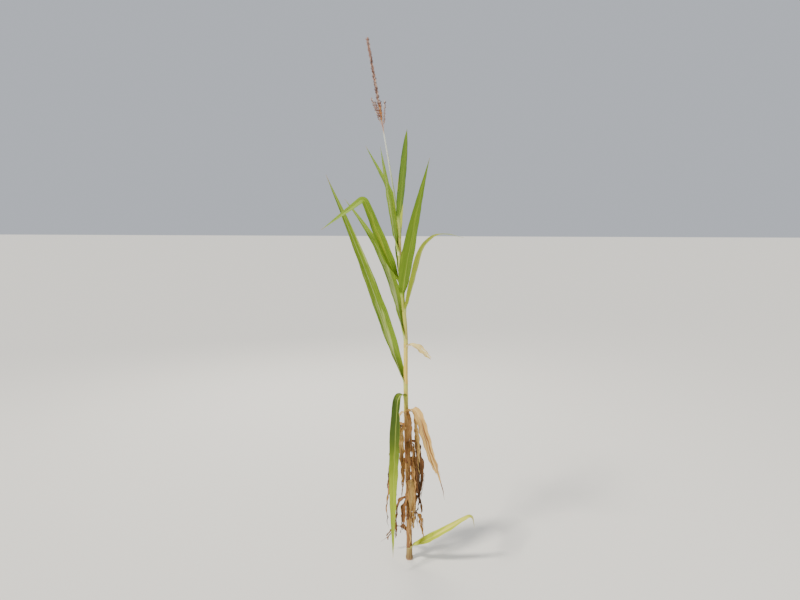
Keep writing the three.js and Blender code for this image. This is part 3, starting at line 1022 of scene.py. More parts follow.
class LeafTree(GeometryTree):
    """The tree that lays a strap over a path: section, midrib, ripples, crumples and tears."""

    COLUMN_POWER = 1.25
    KEEL_SOFT = 0.012
    KEEL_SINK = 0.11
    KEEL_SHARE = 0.5
    DRIFT_RATE = 11.0
    DRIFT = 9.0
    SIDES_APART = 1.9
    RIPPLE_POWER = 2.2
    CRUMPLE_BY = 3.0
    TEAR_RATE = 8.0
    TEAR_WANDERS_BY = 1.2
    TEAR_OPENS_BY = 0.25
    SPRING_RATE = 14.0
    SPREAD_BY = 2.0
    SPRING_BY = 2.4
    RAGGED_RATE = 9.0
    RAGGED_BY = 0.2
    SPLIT_FROM = 0.01
    EDGE_POWER = 6.0
    EDGE_THINNER_BY = 0.5
    RIB_ABOVE = 0.7
    MAP_HALF_WIDTH = 0.22
    MAP_LEFT = 0.02
    MAP_RIGHT = 0.52
    MAP_WALL = 0.01
    MAP_COLLAR = 0.22
    MAP_SHEATH = 0.2
    MAP_BLADE_MORE = 0.56
    DRIFT_SEED = 3.7
    CRUMPLE_SEEDS = (5.3, 1.7)
    TEAR_SEED = 1.9
    STRIP_SEED = 0.37
    STRIP_STEP = 5.1
    SPRING_SEED = 2.9
    RAGGED_SEED = 2.3

    def __init__(self) -> None:
        """Adds the inputs and builds the whole tree."""
        super().__init__("Maize leaf")
        self.stations = self.size("Stations", "Int")
        self.columns = self.size("Columns", "Int")
        self.wear = SimpleNamespace(**{name: self.size(label) for name, label in Wear.labels().items()})
        self.thickness = self.size("Thickness")
        self.map_start = self.size("Map Start")
        self.map_width = self.size("Map Width")
        self.seed = self.size("Seed", "Int")
        material = self.size("Material", "Material")
        self.station = self.attribute("station", "INT")
        self.across = self.attribute("across")
        self.along = self.attribute("along")
        self.metres = self.attribute("metres")
        self.half = self._sampled("half")
        place, normal = self._section()
        lower = self._scraps_out(self._worn(self._grid(), place, normal))
        closed = self._walled(lower)
        for name in ("station", "lift", "raised", "strip"):
            closed = self.add("GeometryNodeRemoveAttribute", {"Geometry": closed, "Name": name})
        self.finished(closed, (material, True))

    def _sampled(self, name: str, kind: str = "FLOAT") -> Field:
        """The path's value at this point's station."""
        return self._at_station(self.attribute(name, kind), kind)

    def _at_station(self, value: Field, kind: str) -> Field:
        """What a value is on the path at this point's station."""
        inputs = {"Geometry": self.path, "Value": value, "Index": self.station}
        return self.add("GeometryNodeSampleIndex", inputs, data_type=kind)

    def _wavering(self, *place: Operand, detail: float = 1.0) -> Field:
        """Smooth noise about zero at a place that the seed is part of."""
        return self.noise(self.vector(*place), detail=detail) - 0.5

    def _grid(self) -> Field:
        """Lays out the grid of the strap's stations and columns.

        Returns:
            A grid whose points know their station on the path and their place across the strap.
        """
        inputs = {"Size X": 1.0, "Size Y": 1.0, "Vertices X": self.stations, "Vertices Y": self.columns}
        grid = self.add("GeometryNodeMeshGrid", inputs)
        run, breadth, _ = self.parts(self.position)
        even = breadth * 2.0
        order = self.math("ROUND", (run + 0.5) * (self.stations - 1.0))
        mesh = self.stored(grid, "station", order, "INT")
        mesh = self.stored(mesh, "across", even.sign() * abs(even) ** self.COLUMN_POWER)
        mesh = self.stored(mesh, "along", self._sampled("share"))
        mesh = self.stored(mesh, "metres", self._sampled("way"))
        return self.stored(mesh, "lateral", self.across * self.half * MILLIMETRES)

    def _section(self) -> tuple[Field, Field]:
        """The strap's section: a keeled, curled blade that turns into a wrap round the stalk.

        Returns:
            Where each point lies, and the way that the upper side faces there.
        """
        middle = self._at_station(self.position, "FLOAT_VECTOR")
        names = ("across_way", "facing", "out", "side", "hold")
        across_way, facing, out, side, hold = (self._sampled(name, "FLOAT_VECTOR") for name in names)
        curl = self._sampled("curl")
        wrap = self._sampled("wrap")
        keel = self.wear.keel
        bow = self.across * curl
        round_half = self.half / curl.sin()
        fold = curl * self.KEEL_SHARE
        sharp = ((self.across ** 2.0 + self.KEEL_SOFT) ** 0.5 - self.KEEL_SINK) * self.half * fold.sin()
        lifted = round_half * (1.0 - bow.cos()) * (1.0 - keel) + sharp * keel
        free = middle + across_way * (round_half * bow.sin()) + facing * lifted
        turn = self.across * self._sampled("spread")
        radial = out * turn.cos() + side * turn.sin()
        overlap = self._sampled("spiral") * ((1.0 - self.across) * 0.5)
        held = hold + radial * (self._sampled("reach") - overlap)
        lean = bow * (1.0 - keel) + self.across.sign() * fold * keel
        free_normal = facing * lean.cos() - across_way * lean.sin()
        normal = self.vector_math("NORMALIZE", self.blended(wrap, free_normal, -radial))
        return self.blended(wrap, free, held), normal

    def _worn(self, mesh: Field, place: Field, normal: Field) -> Field:
        """Lays the grid in its section, rippled and crumpled, and tears its end into strips.

        Args:
            mesh: The grid.
            place: Where each point would lie on a smooth leaf.
            normal: The way that the upper side faces there.

        Returns:
            The under side of the strap, which knows how far it is to be raised.
        """
        wear = self.wear
        drifting = self.vector(self.metres * self.DRIFT_RATE, self.seed * self.DRIFT_SEED)
        drift = self.noise(drifting, detail=1.0) * self.DRIFT
        turns = self.metres * FULL_TURN / wear.ripple_length
        wave = (turns + drift + self.across.above(0.0) * self.SIDES_APART).sin()
        wave = wave * wear.ripple_height * abs(self.across) ** self.RIPPLE_POWER
        ripple = wave * self._sampled("ripples")
        aside = self.vector(*(self.seed * each for each in self.CRUMPLE_SEEDS))
        seeded = place / wear.crumple_size + aside
        crumple = self._centred(self.noise(seeded, output="Color")) * (
            wear.crumple_height * self.CRUMPLE_BY * self._sampled("loose"))

        wavy = self._wavering(self.metres * self.TEAR_RATE, self.seed * self.TEAR_SEED)
        strip_order = (self.across + 1.0) * 0.5 * wear.tear_strips + wavy * self.TEAR_WANDERS_BY
        mesh = self.stored(mesh, "strip", self.math("FLOOR", strip_order))
        strip = self.attribute("strip")
        chance = self.node("ShaderNodeTexWhiteNoise", {
            "Vector": self.vector(strip, self.seed * self.STRIP_SEED)})
        past_tear = self.along.eased(1.0 - wear.tear_depth, 1.0 - wear.tear_depth * self.TEAR_OPENS_BY)
        sprung = self._wavering(self.metres * self.SPRING_RATE, strip * self.STRIP_STEP,
                                self.seed * self.SPRING_SEED)
        flap = self._centred(self.out(chance, "Color")) * (wear.strip_height * self.SPREAD_BY)
        flap = flap + normal * (sprung * wear.strip_height * self.SPRING_BY)

        edge = (abs(self.across) / self._sampled("rib_half")).ramped(0.0, 1.0)
        rib = (1.0 - edge).eased(0.0, 1.0)
        rib_depth = rib * self._sampled("rib_depth")
        wall = self.thickness * (1.0 - abs(self.across) ** self.EDGE_POWER * self.EDGE_THINNER_BY)
        mesh = self.stored(mesh, "midrib", rib)
        mesh = self.stored(mesh, "lift", normal * (wall + rib_depth * self.RIB_ABOVE), "FLOAT_VECTOR")
        mesh = self.moved(mesh, place + crumple + flap * past_tear + normal * (ripple - rib_depth))

        ragged = self._wavering(self.across * self.RAGGED_RATE, self.seed * self.RAGGED_SEED, detail=2.0)
        lost = self.out(chance, "Value") * wear.strip_loss
        short = self.along.above(1.0 - lost + ragged * self.RAGGED_BY * wear.strip_loss)
        split = abs(strip - self.math("ROUND", strip)).above(self.SPLIT_FROM)
        slit = split * self.along.above(1.0 - wear.tear_depth)
        return self.without(mesh, (short + slit).above(0.5) * wear.tear_depth.above(0.0), "FACE")

    @staticmethod
    def _centred(colour_noise: Field) -> Field:
        """Noise of three numbers about zero."""
        return colour_noise - (0.5, 0.5, 0.5)

    def _scraps_out(self, mesh: Field) -> Field:
        """Takes out the scraps that the tears cut loose.

        Args:
            mesh: The torn strap.

        Returns:
            What still hangs on the strap's foot.
        """
        island = self.add("GeometryNodeInputMeshIsland")
        inputs = {"Value": 1.0 - self.station.above(0.5), "Group ID": island}
        starts = self.out(self.node("GeometryNodeAccumulateField", inputs), "Total")
        return self.without(mesh, 1.0 - starts.above(0.5), "POINT")

    def _walled(self, lower: Field) -> Field:
        """Raises the upper side off the under side, closes the edge between them and lays out their map.

        Args:
            lower: The under side, which faces up.

        Returns:
            The closed mesh.
        """
        raised = self.node("GeometryNodeExtrudeMesh", {
            "Mesh": lower, "Offset": self.attribute("lift", "FLOAT_VECTOR"), "Offset Scale": 1.0,
            "Individual": False})
        upper = self.stored(self.out(raised, "Mesh"), "raised", 1.0, where=self.out(raised, "Top"))
        lower = self.add("GeometryNodeFlipFaces", {"Mesh": lower})
        longer = self.along.above(0.0) * self.MAP_BLADE_MORE
        run = self.along * (self.MAP_SHEATH + longer) + self.MAP_COLLAR
        over = (self.across + 1.0) * self.MAP_HALF_WIDTH
        right = over + self.MAP_RIGHT + self.attribute("raised") * self.MAP_WALL
        sides = []
        for side, breadth, underside in ((lower, over + self.MAP_LEFT, 1.0), (upper, right, 0.0)):
            side = self.stored(side, "underside", underside, domain="CORNER")
            spot = self.vector(self.map_start + breadth * self.map_width, run)
            sides.append(self.stored(side, EXPORT_MAP, spot, "FLOAT2", "CORNER"))
        return self.welded(self.together(*sides))


@dataclass
class LeafBuilder:
    """Makes each leaf as one strap: the sheath round the stalk, which opens into the blade."""

    line: StalkLine
    blade_stations: int = 130
    sheath_stations: int = 26
    columns: int = 29
    strip_stations: int = 70
    strip_columns: int = 11
    clearance: float = 0.0004
    wall: float = 0.002
    collar_flare: float = 0.0012
    collar_height: float = 0.012
    longest_sheath: float = 0.190
    node_above_collar: float = 0.008
    sheath_above_node: float = 0.005
    overlap: float = 14.0
    thickness: float = 0.0005
    opens_over: float = 0.045
    tucked_in: float = 0.0065
    joint_swell: float = 0.0008
    swell_half: float = 0.006
    sheath_sink: float = 0.0002
    strip_inset: float = 0.0006
    unwraps_below: float = 0.010
    unwraps_over: float = 0.014
    spiral: float = 0.0009
    spiral_over: float = 0.02
    curl_wanders: float = 5.0
    curl_settles_by: float = 0.45
    curl_limits: Span = (0.12, 1.5)
    rib_halves: Span = (0.0036, 0.0009)
    rib_least: float = 0.0008
    rib_for_width: float = 0.06
    rib_limits: Span = (0.06, 0.5)
    rib_left_at_tip: float = 0.12
    sheath_rib_half: float = 0.08
    sheath_rib_depth: float = 0.0004
    sheath_loose: float = 0.12
    collar_loose: float = 0.15
    loosens_by: float = 0.12
    ripples_by: float = 0.1
    tree: LeafTree = field(default_factory=LeafTree)

    SHEATH_SPACING = 0.8
    BLADE_SPACING = 1.15
    RIB_FADE = 0.8
    CURL_SEED = 100
    SEED_STEP = 40
    FINE_STEPS = 600
    LEAF_MAP_SHARE = 0.5

    def sheath_foot(self, order: int) -> float:
        """Height of the foot of a leaf's sheath, just above its joint.

        Args:
            order: The leaf's place in LEAVES.

        Returns:
            The height over the ground.
        """
        below = LEAVES[order - 1].collar if order else 0.0
        lowest = below + self.node_above_collar + self.sheath_above_node
        return max(lowest, LEAVES[order].collar - self.longest_sheath)

    def joints(self) -> list[float]:
        """Heights of the stalk's joints, one under each sheath."""
        return [self.sheath_foot(order) - self.sheath_above_node for order in range(len(LEAVES))]

    def build(self, order: int) -> bpy.types.Object:
        """Makes one leaf, with the strips that hang from its collar, and dresses it.

        Args:
            order: The leaf's place in LEAVES, from the foot up.

        Returns:
            The finished piece.
        """
        leaf = LEAVES[order]
        share = self.LEAF_MAP_SHARE if leaf.strips else 1.0
        straps = [self._strap(leaf, order, 0, (0.0, share))]
        for number in range(1, leaf.strips + 1):
            each = (1.0 - share) / leaf.strips
            room = (share + (number - 1) * each, each)
            straps.append(self._strap(leaf.strip(number), order, number, room))
        piece = joined(straps)
        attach(piece, BODY)
        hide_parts(leaf.node)
        return piece

    def _strap(self, leaf: LeafShape, order: int, number: int, room: Span) -> bpy.types.Object:
        """Makes the whole strap of a leaf, or one strip without a sheath.

        Args:
            leaf: Its sizes.
            order: The leaf's place in LEAVES.
            number: Zero for the leaf itself, and a strip's number for a strip.
            room: Where its part of the map starts and how wide that is.

        Returns:
            A plain mesh.
        """
        rows = 0 if number else self.sheath_stations
        stations = self.strip_stations if number else self.blade_stations
        sizes = {
            "Stations": stations + rows, "Columns": self.strip_columns if number else self.columns,
            "Thickness": self.thickness, "Map Start": room[0], "Map Width": room[1],
            "Seed": order + self.SEED_STEP * number, "Material": leaf.finish.material()}
        sizes |= {label: getattr(leaf.wear, name) for name, label in Wear.labels().items()}
        name = f"{leaf.node}_strap_{number}" if number else f"{leaf.node}_strap"
        return self.tree.grow(name, self._path(leaf, order, number, rows, stations), sizes)

    def _path(self, leaf: LeafShape, order: int, number: int, rows: int,
              stations: int) -> bpy.types.Mesh:
        """The strap's middle line, from the foot of the sheath over the collar to the tip.

        Args:
            leaf: Its sizes.
            order: The leaf's place in LEAVES.
            number: Zero for the leaf itself, and a strip's number for a strip.
            rows: How many stations the sheath has.
            stations: How many stations the blade has.

        Returns:
            The path, with the sizes of the section at each station.
        """
        line = self.line
        joint = self.sheath_foot(order) - self.sheath_above_node
        foot = max(0.0, joint - self.node_above_collar - self.tucked_in) if order else joint
        spaced = np.linspace(0.0, 1.0, rows + 1)[:-1] ** self.SHEATH_SPACING
        heights = foot + (leaf.collar - foot) * spaced
        share = np.linspace(0.0, 1.0, stations) ** self.BLADE_SPACING
        frames = leaf.frames(share)
        start_out = frames["out"][0]
        start_side = frames["side"][0]
        reach = line.radius(leaf.collar) + 2 * self.clearance + self.wall + self.collar_flare
        blade = self._middle_line(leaf, share, line.centre(leaf.collar) + start_out * reach)
        blade_metres = share * leaf.length

        flare = self.collar_flare * smooth((heights - leaf.collar) / self.collar_height + 1.0)
        swell = self.joint_swell * np.exp(-((heights - joint) / self.swell_half) ** 2)
        bare_reach = line.radius(heights) + self.clearance + self.wall - self.sheath_sink
        sheath_reach = bare_reach + flare + swell
        sheath_hold = line.centre(heights)
        blade_hold = line.centre(np.minimum(blade[:, 2], leaf.collar + self.opens_over))
        blade_hold[:, 2] = blade[:, 2]
        inset = self.strip_inset if number else 0.0
        blade_reach = np.full(stations, reach - self.clearance - inset)

        width = leaf.width_at(share)
        spread_full = math.pi + math.radians(self.overlap)
        spread_blade = width / 2 / blade_reach
        unwrapped = smooth((heights - leaf.collar + self.unwraps_below) / self.unwraps_over)
        curl_seed = self.CURL_SEED + order + self.SEED_STEP * number
        varied = 1.0 + wander(stations, curl_seed, self.curl_wanders) * leaf.wear.curl_varies_by
        curled = smooth(share / self.curl_settles_by)
        curl = lerp(leaf.wear.curl_at_collar, leaf.wear.curl, curled) * varied
        rib_half = lerp(*self.rib_halves, share ** self.RIB_FADE) * leaf.width / self.rib_for_width
        rib_share = np.maximum(self.rib_least, rib_half) / (width / 2)
        rib_depth = leaf.wear.rib_height * lerp(1.0, self.rib_left_at_tip, share ** self.RIB_FADE)
        loose = self.collar_loose + (1.0 - self.collar_loose) * smooth(share / self.loosens_by)

        def whole(sheath: np.ndarray | float, on_blade: np.ndarray | float) -> np.ndarray:
            """Puts the sheath's values and the blade's in one row.

            Args:
                sheath: One value, or one for each of its stations.
                on_blade: The same for the blade.

            Returns:
                One value for each station of the strap.
            """
            low = np.broadcast_to(np.asarray(sheath, float), (rows,))
            high = np.broadcast_to(np.asarray(on_blade, float), (stations,))
            return np.concatenate([low, high])

        values = {
            "across_way": np.vstack([rows_of(start_side, rows), frames["across"]]),
            "facing": np.vstack([rows_of(-start_out, rows), frames["facing"]]),
            "out": rows_of(start_out, rows + stations),
            "side": rows_of(start_side, rows + stations),
            "hold": np.vstack([sheath_hold, blade_hold]),
            "half": whole(leaf.width / 2 * BASE_WIDTH_SHARE, width / 2),
            "curl": whole(curl[0], np.clip(curl, *self.curl_limits)),
            "wrap": whole(1.0, 1.0 - smooth(blade_metres / self.opens_over)),
            "spread": whole(lerp(spread_full, spread_blade[0], unwrapped), spread_blade),
            "reach": whole(sheath_reach, blade_reach),
            "spiral": whole(self.spiral * smooth((leaf.collar - heights) / self.spiral_over), 0.0),
            "share": whole((heights - leaf.collar) / (leaf.collar - foot), share),
            "way": whole(heights - leaf.collar, blade_metres),
            "rib_half": whole(self.sheath_rib_half, np.clip(rib_share, *self.rib_limits)),
            "rib_depth": whole(self.sheath_rib_depth, rib_depth),
            "loose": whole(self.sheath_loose, loose),
            "ripples": whole(0.0, smooth(share / self.ripples_by) * (1.0 - share ** 3)),
        }
        points = np.vstack([sheath_hold + start_out * sheath_reach[:, None], blade])
        return path_mesh(leaf.node, points, values)

    def _middle_line(self, leaf: LeafShape, share: np.ndarray, start: np.ndarray) -> np.ndarray:
        """The blade's middle line, added up in small steps along its direction.

        Args:
            leaf: Its sizes.
            share: Places from the collar, 0, to the tip, 1.
            start: Where it leaves the stalk.

        Returns:
            One point for each place.
        """
        fine = np.linspace(0.0, 1.0, self.FINE_STEPS + 1)
        middles = (fine[1:] + fine[:-1]) / 2
        steps = leaf.frames(middles)["along"] * (leaf.length / len(middles))
        points = start + np.vstack([np.zeros(3), np.cumsum(steps, axis=0)])
        return np.stack([np.interp(share, fine, points[:, axis]) for axis in range(3)], axis=-1)


@dataclass(frozen=True)
class RindFinish:
    """The stalk's smooth skin: tan at the foot, green between, whitish under the tassel."""

    name: str = "maize_rind"
    foot: str = "a07c62"
    fibres_around: float = 40.0
    fibres_up: float = 6.0
    turns: tuple[tuple[str, float, float], ...] = (
        ("b7905c", 0.01, 0.12), ("b5b066", 0.5, 0.95), ("c9d3a6", 1.5, 1.7), ("dfe4d6", 1.75, 1.95),
        ("b9957f", 1.965, 2.0))
    blotch: str = "b7905c"
    ring: str = "8f6a43"
    ring_share: float = 0.7
    streaks_between: Span = (0.45, 0.7)
    streak_share: float = 0.35
    blotches_between: Span = (0.55, 0.75)
    blotch_share: float = 0.3
    roughness: float = 0.5
    roughness_varies_by: float = 0.3
    gloss: float = 0.4
    relief: float = 0.0003
    relief_strength: float = 0.7

    def material(self) -> bpy.types.Material:
        """Builds the finish on object coordinates and the stalk's own joint mark.

        Returns:
            A new material.
        """
        graph = ShaderGraph(self.name)
        height = graph.parts(graph.place)[2]
        fibres = graph.vector(graph.stored("around") * self.fibres_around, height * self.fibres_up)
        streaks = graph.noise(fibres, detail=3.0, roughness=0.6)
        blotches = graph.noise(graph.place, scale=30.0, detail=3.0, roughness=0.6)
        base: Paint = self.foot
        for paint, start, end in self.turns:
            base = graph.over(base, height.eased(start, end), paint)
        base = graph.over(base, streaks.eased(*self.streaks_between) * self.streak_share, self.ring)
        base = graph.over(base, blotches.eased(*self.blotches_between) * self.blotch_share, self.blotch)
        base = graph.over(base, graph.stored("joint") * self.ring_share, self.ring)
        roughness = self.roughness + (blotches - 0.5) * self.roughness_varies_by
        relief = graph.bump(streaks, self.relief, self.relief_strength)
        return graph.finished(base, roughness, self.gloss, relief)


@dataclass
class Stalk:
    """The bare cane that the sheaths wrap, with a ring at each joint."""

    line: StalkLine
    joints: list[float]
    node: str = "stalk"
    sides: int = 36
    step: float = 0.02
    ring_swell: float = 0.0010
    ring_half: float = 0.0028
    ring_reach: float = 0.009
    ring_stations: int = 13
    ridge_height: float = 0.00018
    ridges: float = 19.0
    finish: RindFinish = field(default_factory=RindFinish)

    def build(self) -> bpy.types.Object:
        """Makes the stalk and dresses it.

        Returns:
            The finished piece.
        """
        piece = self._tree().grow("stalk_cane", self._path(), {
            "Sides": self.sides, "Ridge Height": self.ridge_height, "Ridges": self.ridges,
            "Material": self.finish.material()})
        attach(piece, BODY)
        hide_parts(self.node)
        return piece

    def _path(self) -> bpy.types.Mesh:
        """The stalk's line in stations that lie close together at its joints.

        Returns:
            The path, with its girth and the mark of its joints.
        """
        even = np.arange(0.0, self.line.top, self.step)
        offsets = np.linspace(-self.ring_reach, self.ring_reach, self.ring_stations)
        near = [joint + offset for joint in self.joints for offset in offsets]
        heights = np.unique(np.round(np.concatenate([even, near, self.line.heights]), decimals=5))
        heights = heights[(heights >= 0.0) & (heights <= self.line.top)]
        nearest = np.min(np.abs(heights[:, None] - np.asarray(self.joints)[None, :]), axis=1)
        ring = np.exp(-(nearest / self.ring_half) ** 2)
        girth = self.line.radius(heights) + self.ring_swell * ring
        return path_mesh(self.node, self.line.centre(heights), {"girth": girth, "joint": ring})

    @staticmethod
    def _tree() -> GeometryTree:
        """The tree that sweeps a ridged ring up the stalk's line and levels its foot.

        Returns:
            The tree, with its sizes as named inputs.
        """
        tree = GeometryTree("Maize stalk")
        sides = tree.size("Sides", "Int")
        ridge_height = tree.size("Ridge Height")
        ridges = tree.size("Ridges")
        material = tree.size("Material", "Material")
        curve = tree.add("GeometryNodeMeshToCurve", {"Mesh": tree.path})
        cane = tree.swept(curve, sides, tree.attribute("girth"), mark="around")
        wave = (tree.attribute("around") * FULL_TURN * ridges).sin() * ridge_height
        cane = tree.moved(cane, tree.position + tree.add("GeometryNodeInputNormal") * wave)
        x, y, z = tree.parts(tree.position)
        cane = tree.moved(cane, tree.vector(x, y, tree.math("MAXIMUM", z, 0.0)))
        tree.finished(tree.welded(cane), (material, True))
        return tree


@dataclass(frozen=True)
class HuskFinish:
    """A plain dry colour for the husks that are dealt it."""

    name: str
    tone: str
    shade: str
    mottle_between: Span = (0.35, 0.7)
    roughness: float = 0.85
    gloss: float = 0.5

    def material(self) -> bpy.types.Material:
        """Builds the finish, with a fine mottle that has no place of its own.

        Returns:
            A new material.
        """
        graph = ShaderGraph(self.name)
        mottle = graph.noise(graph.place, scale=260.0, detail=2.0, roughness=0.6)
        base = graph.over(self.tone, mottle.eased(*self.mottle_between), self.shade)
        return graph.finished(base, self.roughness, self.gloss)


class HuskTone(Enum):
    """The mix of dry colours that a twig's husks are dealt: most, the darker ones and the palest."""

    DULL = (HuskFinish("husk_tan", "b98f7c", "8c6657"), HuskFinish("husk_brown", "876354", "5c4138"),
            HuskFinish("husk_straw", "d8bba6", "b2917c"))
    WARM = (HuskFinish("husk_orange", "d99650", "b36f38"), HuskFinish("husk_rust", "966240", "653e2a"),
            HuskFinish("husk_gold", "e3bf80", "bc9058"))
    PALE = (HuskFinish("husk_rose", "cbab9c", "a08072"), HuskFinish("husk_mauve", "96786c", "6b5048"),
            HuskFinish("husk_cream", "e0cfc0", "bba490"))


@dataclass(frozen=True)
class Branch:
    """One tassel branch by the named sizes of its solid."""

    height: float
    azimuth: float
    length: float
    opening: float
    droop: float
    tone: HuskTone = HuskTone.DULL


BRANCHES = (
    Branch(2.006, -5, 0.105, 14, -2, HuskTone.PALE),
    Branch(2.018, 168, 0.118, 13, -2, HuskTone.PALE),
    Branch(2.030, 80, 0.090, 14, -4),
    Branch(2.042, -135, 0.075, 13, -4),
    Branch(2.024, -72, 0.070, 14, -4, HuskTone.WARM),
)


@dataclass(frozen=True)
class Twig:
    """The spike or one branch: its line, its girth at foot and tip, and the husks that it is dealt."""

    node: str
    points: np.ndarray
    radius: Span
    bare: float
    tone: HuskTone
    seed: int
    husk_scale: float


class TwigTree(GeometryTree):
    """The tree that sweeps a twig and deals spikelet pairs out along it."""

    TWIG_SIDES = 10
    TWIG_TINT = 0.5
    HUSK_SIZES = (0.75, 1.1)
    TINT_SEED = 50.0
    TAN_FROM = 0.36
    STRAW_FROM = 0.8

    def __init__(self) -> None:
        """Adds the inputs and builds the whole tree."""
        super().__init__("Tassel twig")
        spikelet = self.size("Spikelet", "Object")
        count = self.size("Count", "Int")
        names = ("Bare Share", "Foot Radius", "Tip Radius", "Turn", "Lean", "Husk Scale")
        bare, foot, tip, turn, lean, scale = (self.size(name) for name in names)
        seed = self.size("Seed", "Int")
        tan, brown, straw = (self.size(name, "Material") for name in ("Tan", "Brown", "Straw"))

        curve = self.add("GeometryNodeMeshToCurve", {"Mesh": self.path})
        share = self.out(self.node("GeometryNodeSplineParameter"), "Factor")
        twig = self.swept(curve, self.TWIG_SIDES, foot + (tip - foot) * share)
        twig = self.stored(twig, "tint", self.TWIG_TINT)

        points = self.node("GeometryNodeCurveToPoints", {"Curve": curve, "Count": count})
        order = self.add("GeometryNodeInputIndex")
        spun = self._rotated(self.out(points, "Rotation"), (0.0, 0.0, 1.0), order * turn)
        aimed = self._rotated(spun, (0.0, 1.0, 0.0), lean)
        size = self._random(*self.HUSK_SIZES, seed) * scale
        dealt = self.add("GeometryNodeInstanceOnPoints", {
            "Points": self.out(points, "Points"), "Selection": (order / (count - 1.0)).above(bare),
            "Instance": self.out(self.node("GeometryNodeObjectInfo", {"Object": spikelet}), "Geometry"),
            "Rotation": aimed, "Scale": self.vector(size, size, size)})
        tint = self._random(0.0, 1.0, seed + self.TINT_SEED)
        dealt = self.stored(dealt, "tint", tint, domain="INSTANCE")
        kind = self.attribute("tint")
        self.finished(self.together(dealt, twig), (brown, True), (tan, kind.above(self.TAN_FROM)),
                      (straw, kind.above(self.STRAW_FROM)))

    def _rotated(self, rotation: Field, axis: Place, angle: Field) -> Field:
        """Turns a rotation on by an angle.

        Args:
            rotation: The rotation.
            axis: One of its own axes.
            angle: How far it turns about that, in radians.

        Returns:
            The new rotation.
        """
        about = self.add("FunctionNodeAxisAngleToRotation", {"Axis": axis, "Angle": angle})
        inputs = {"Rotation": rotation, "Rotate By": about}
        return self.add("FunctionNodeRotateRotation", inputs, rotation_space="LOCAL")

    def _random(self, least: float, most: float, seed: Field) -> Field:
        """A random number for each element."""
        return self.add("FunctionNodeRandomValue", {"Min_001": least, "Max_001": most, "Seed": seed})


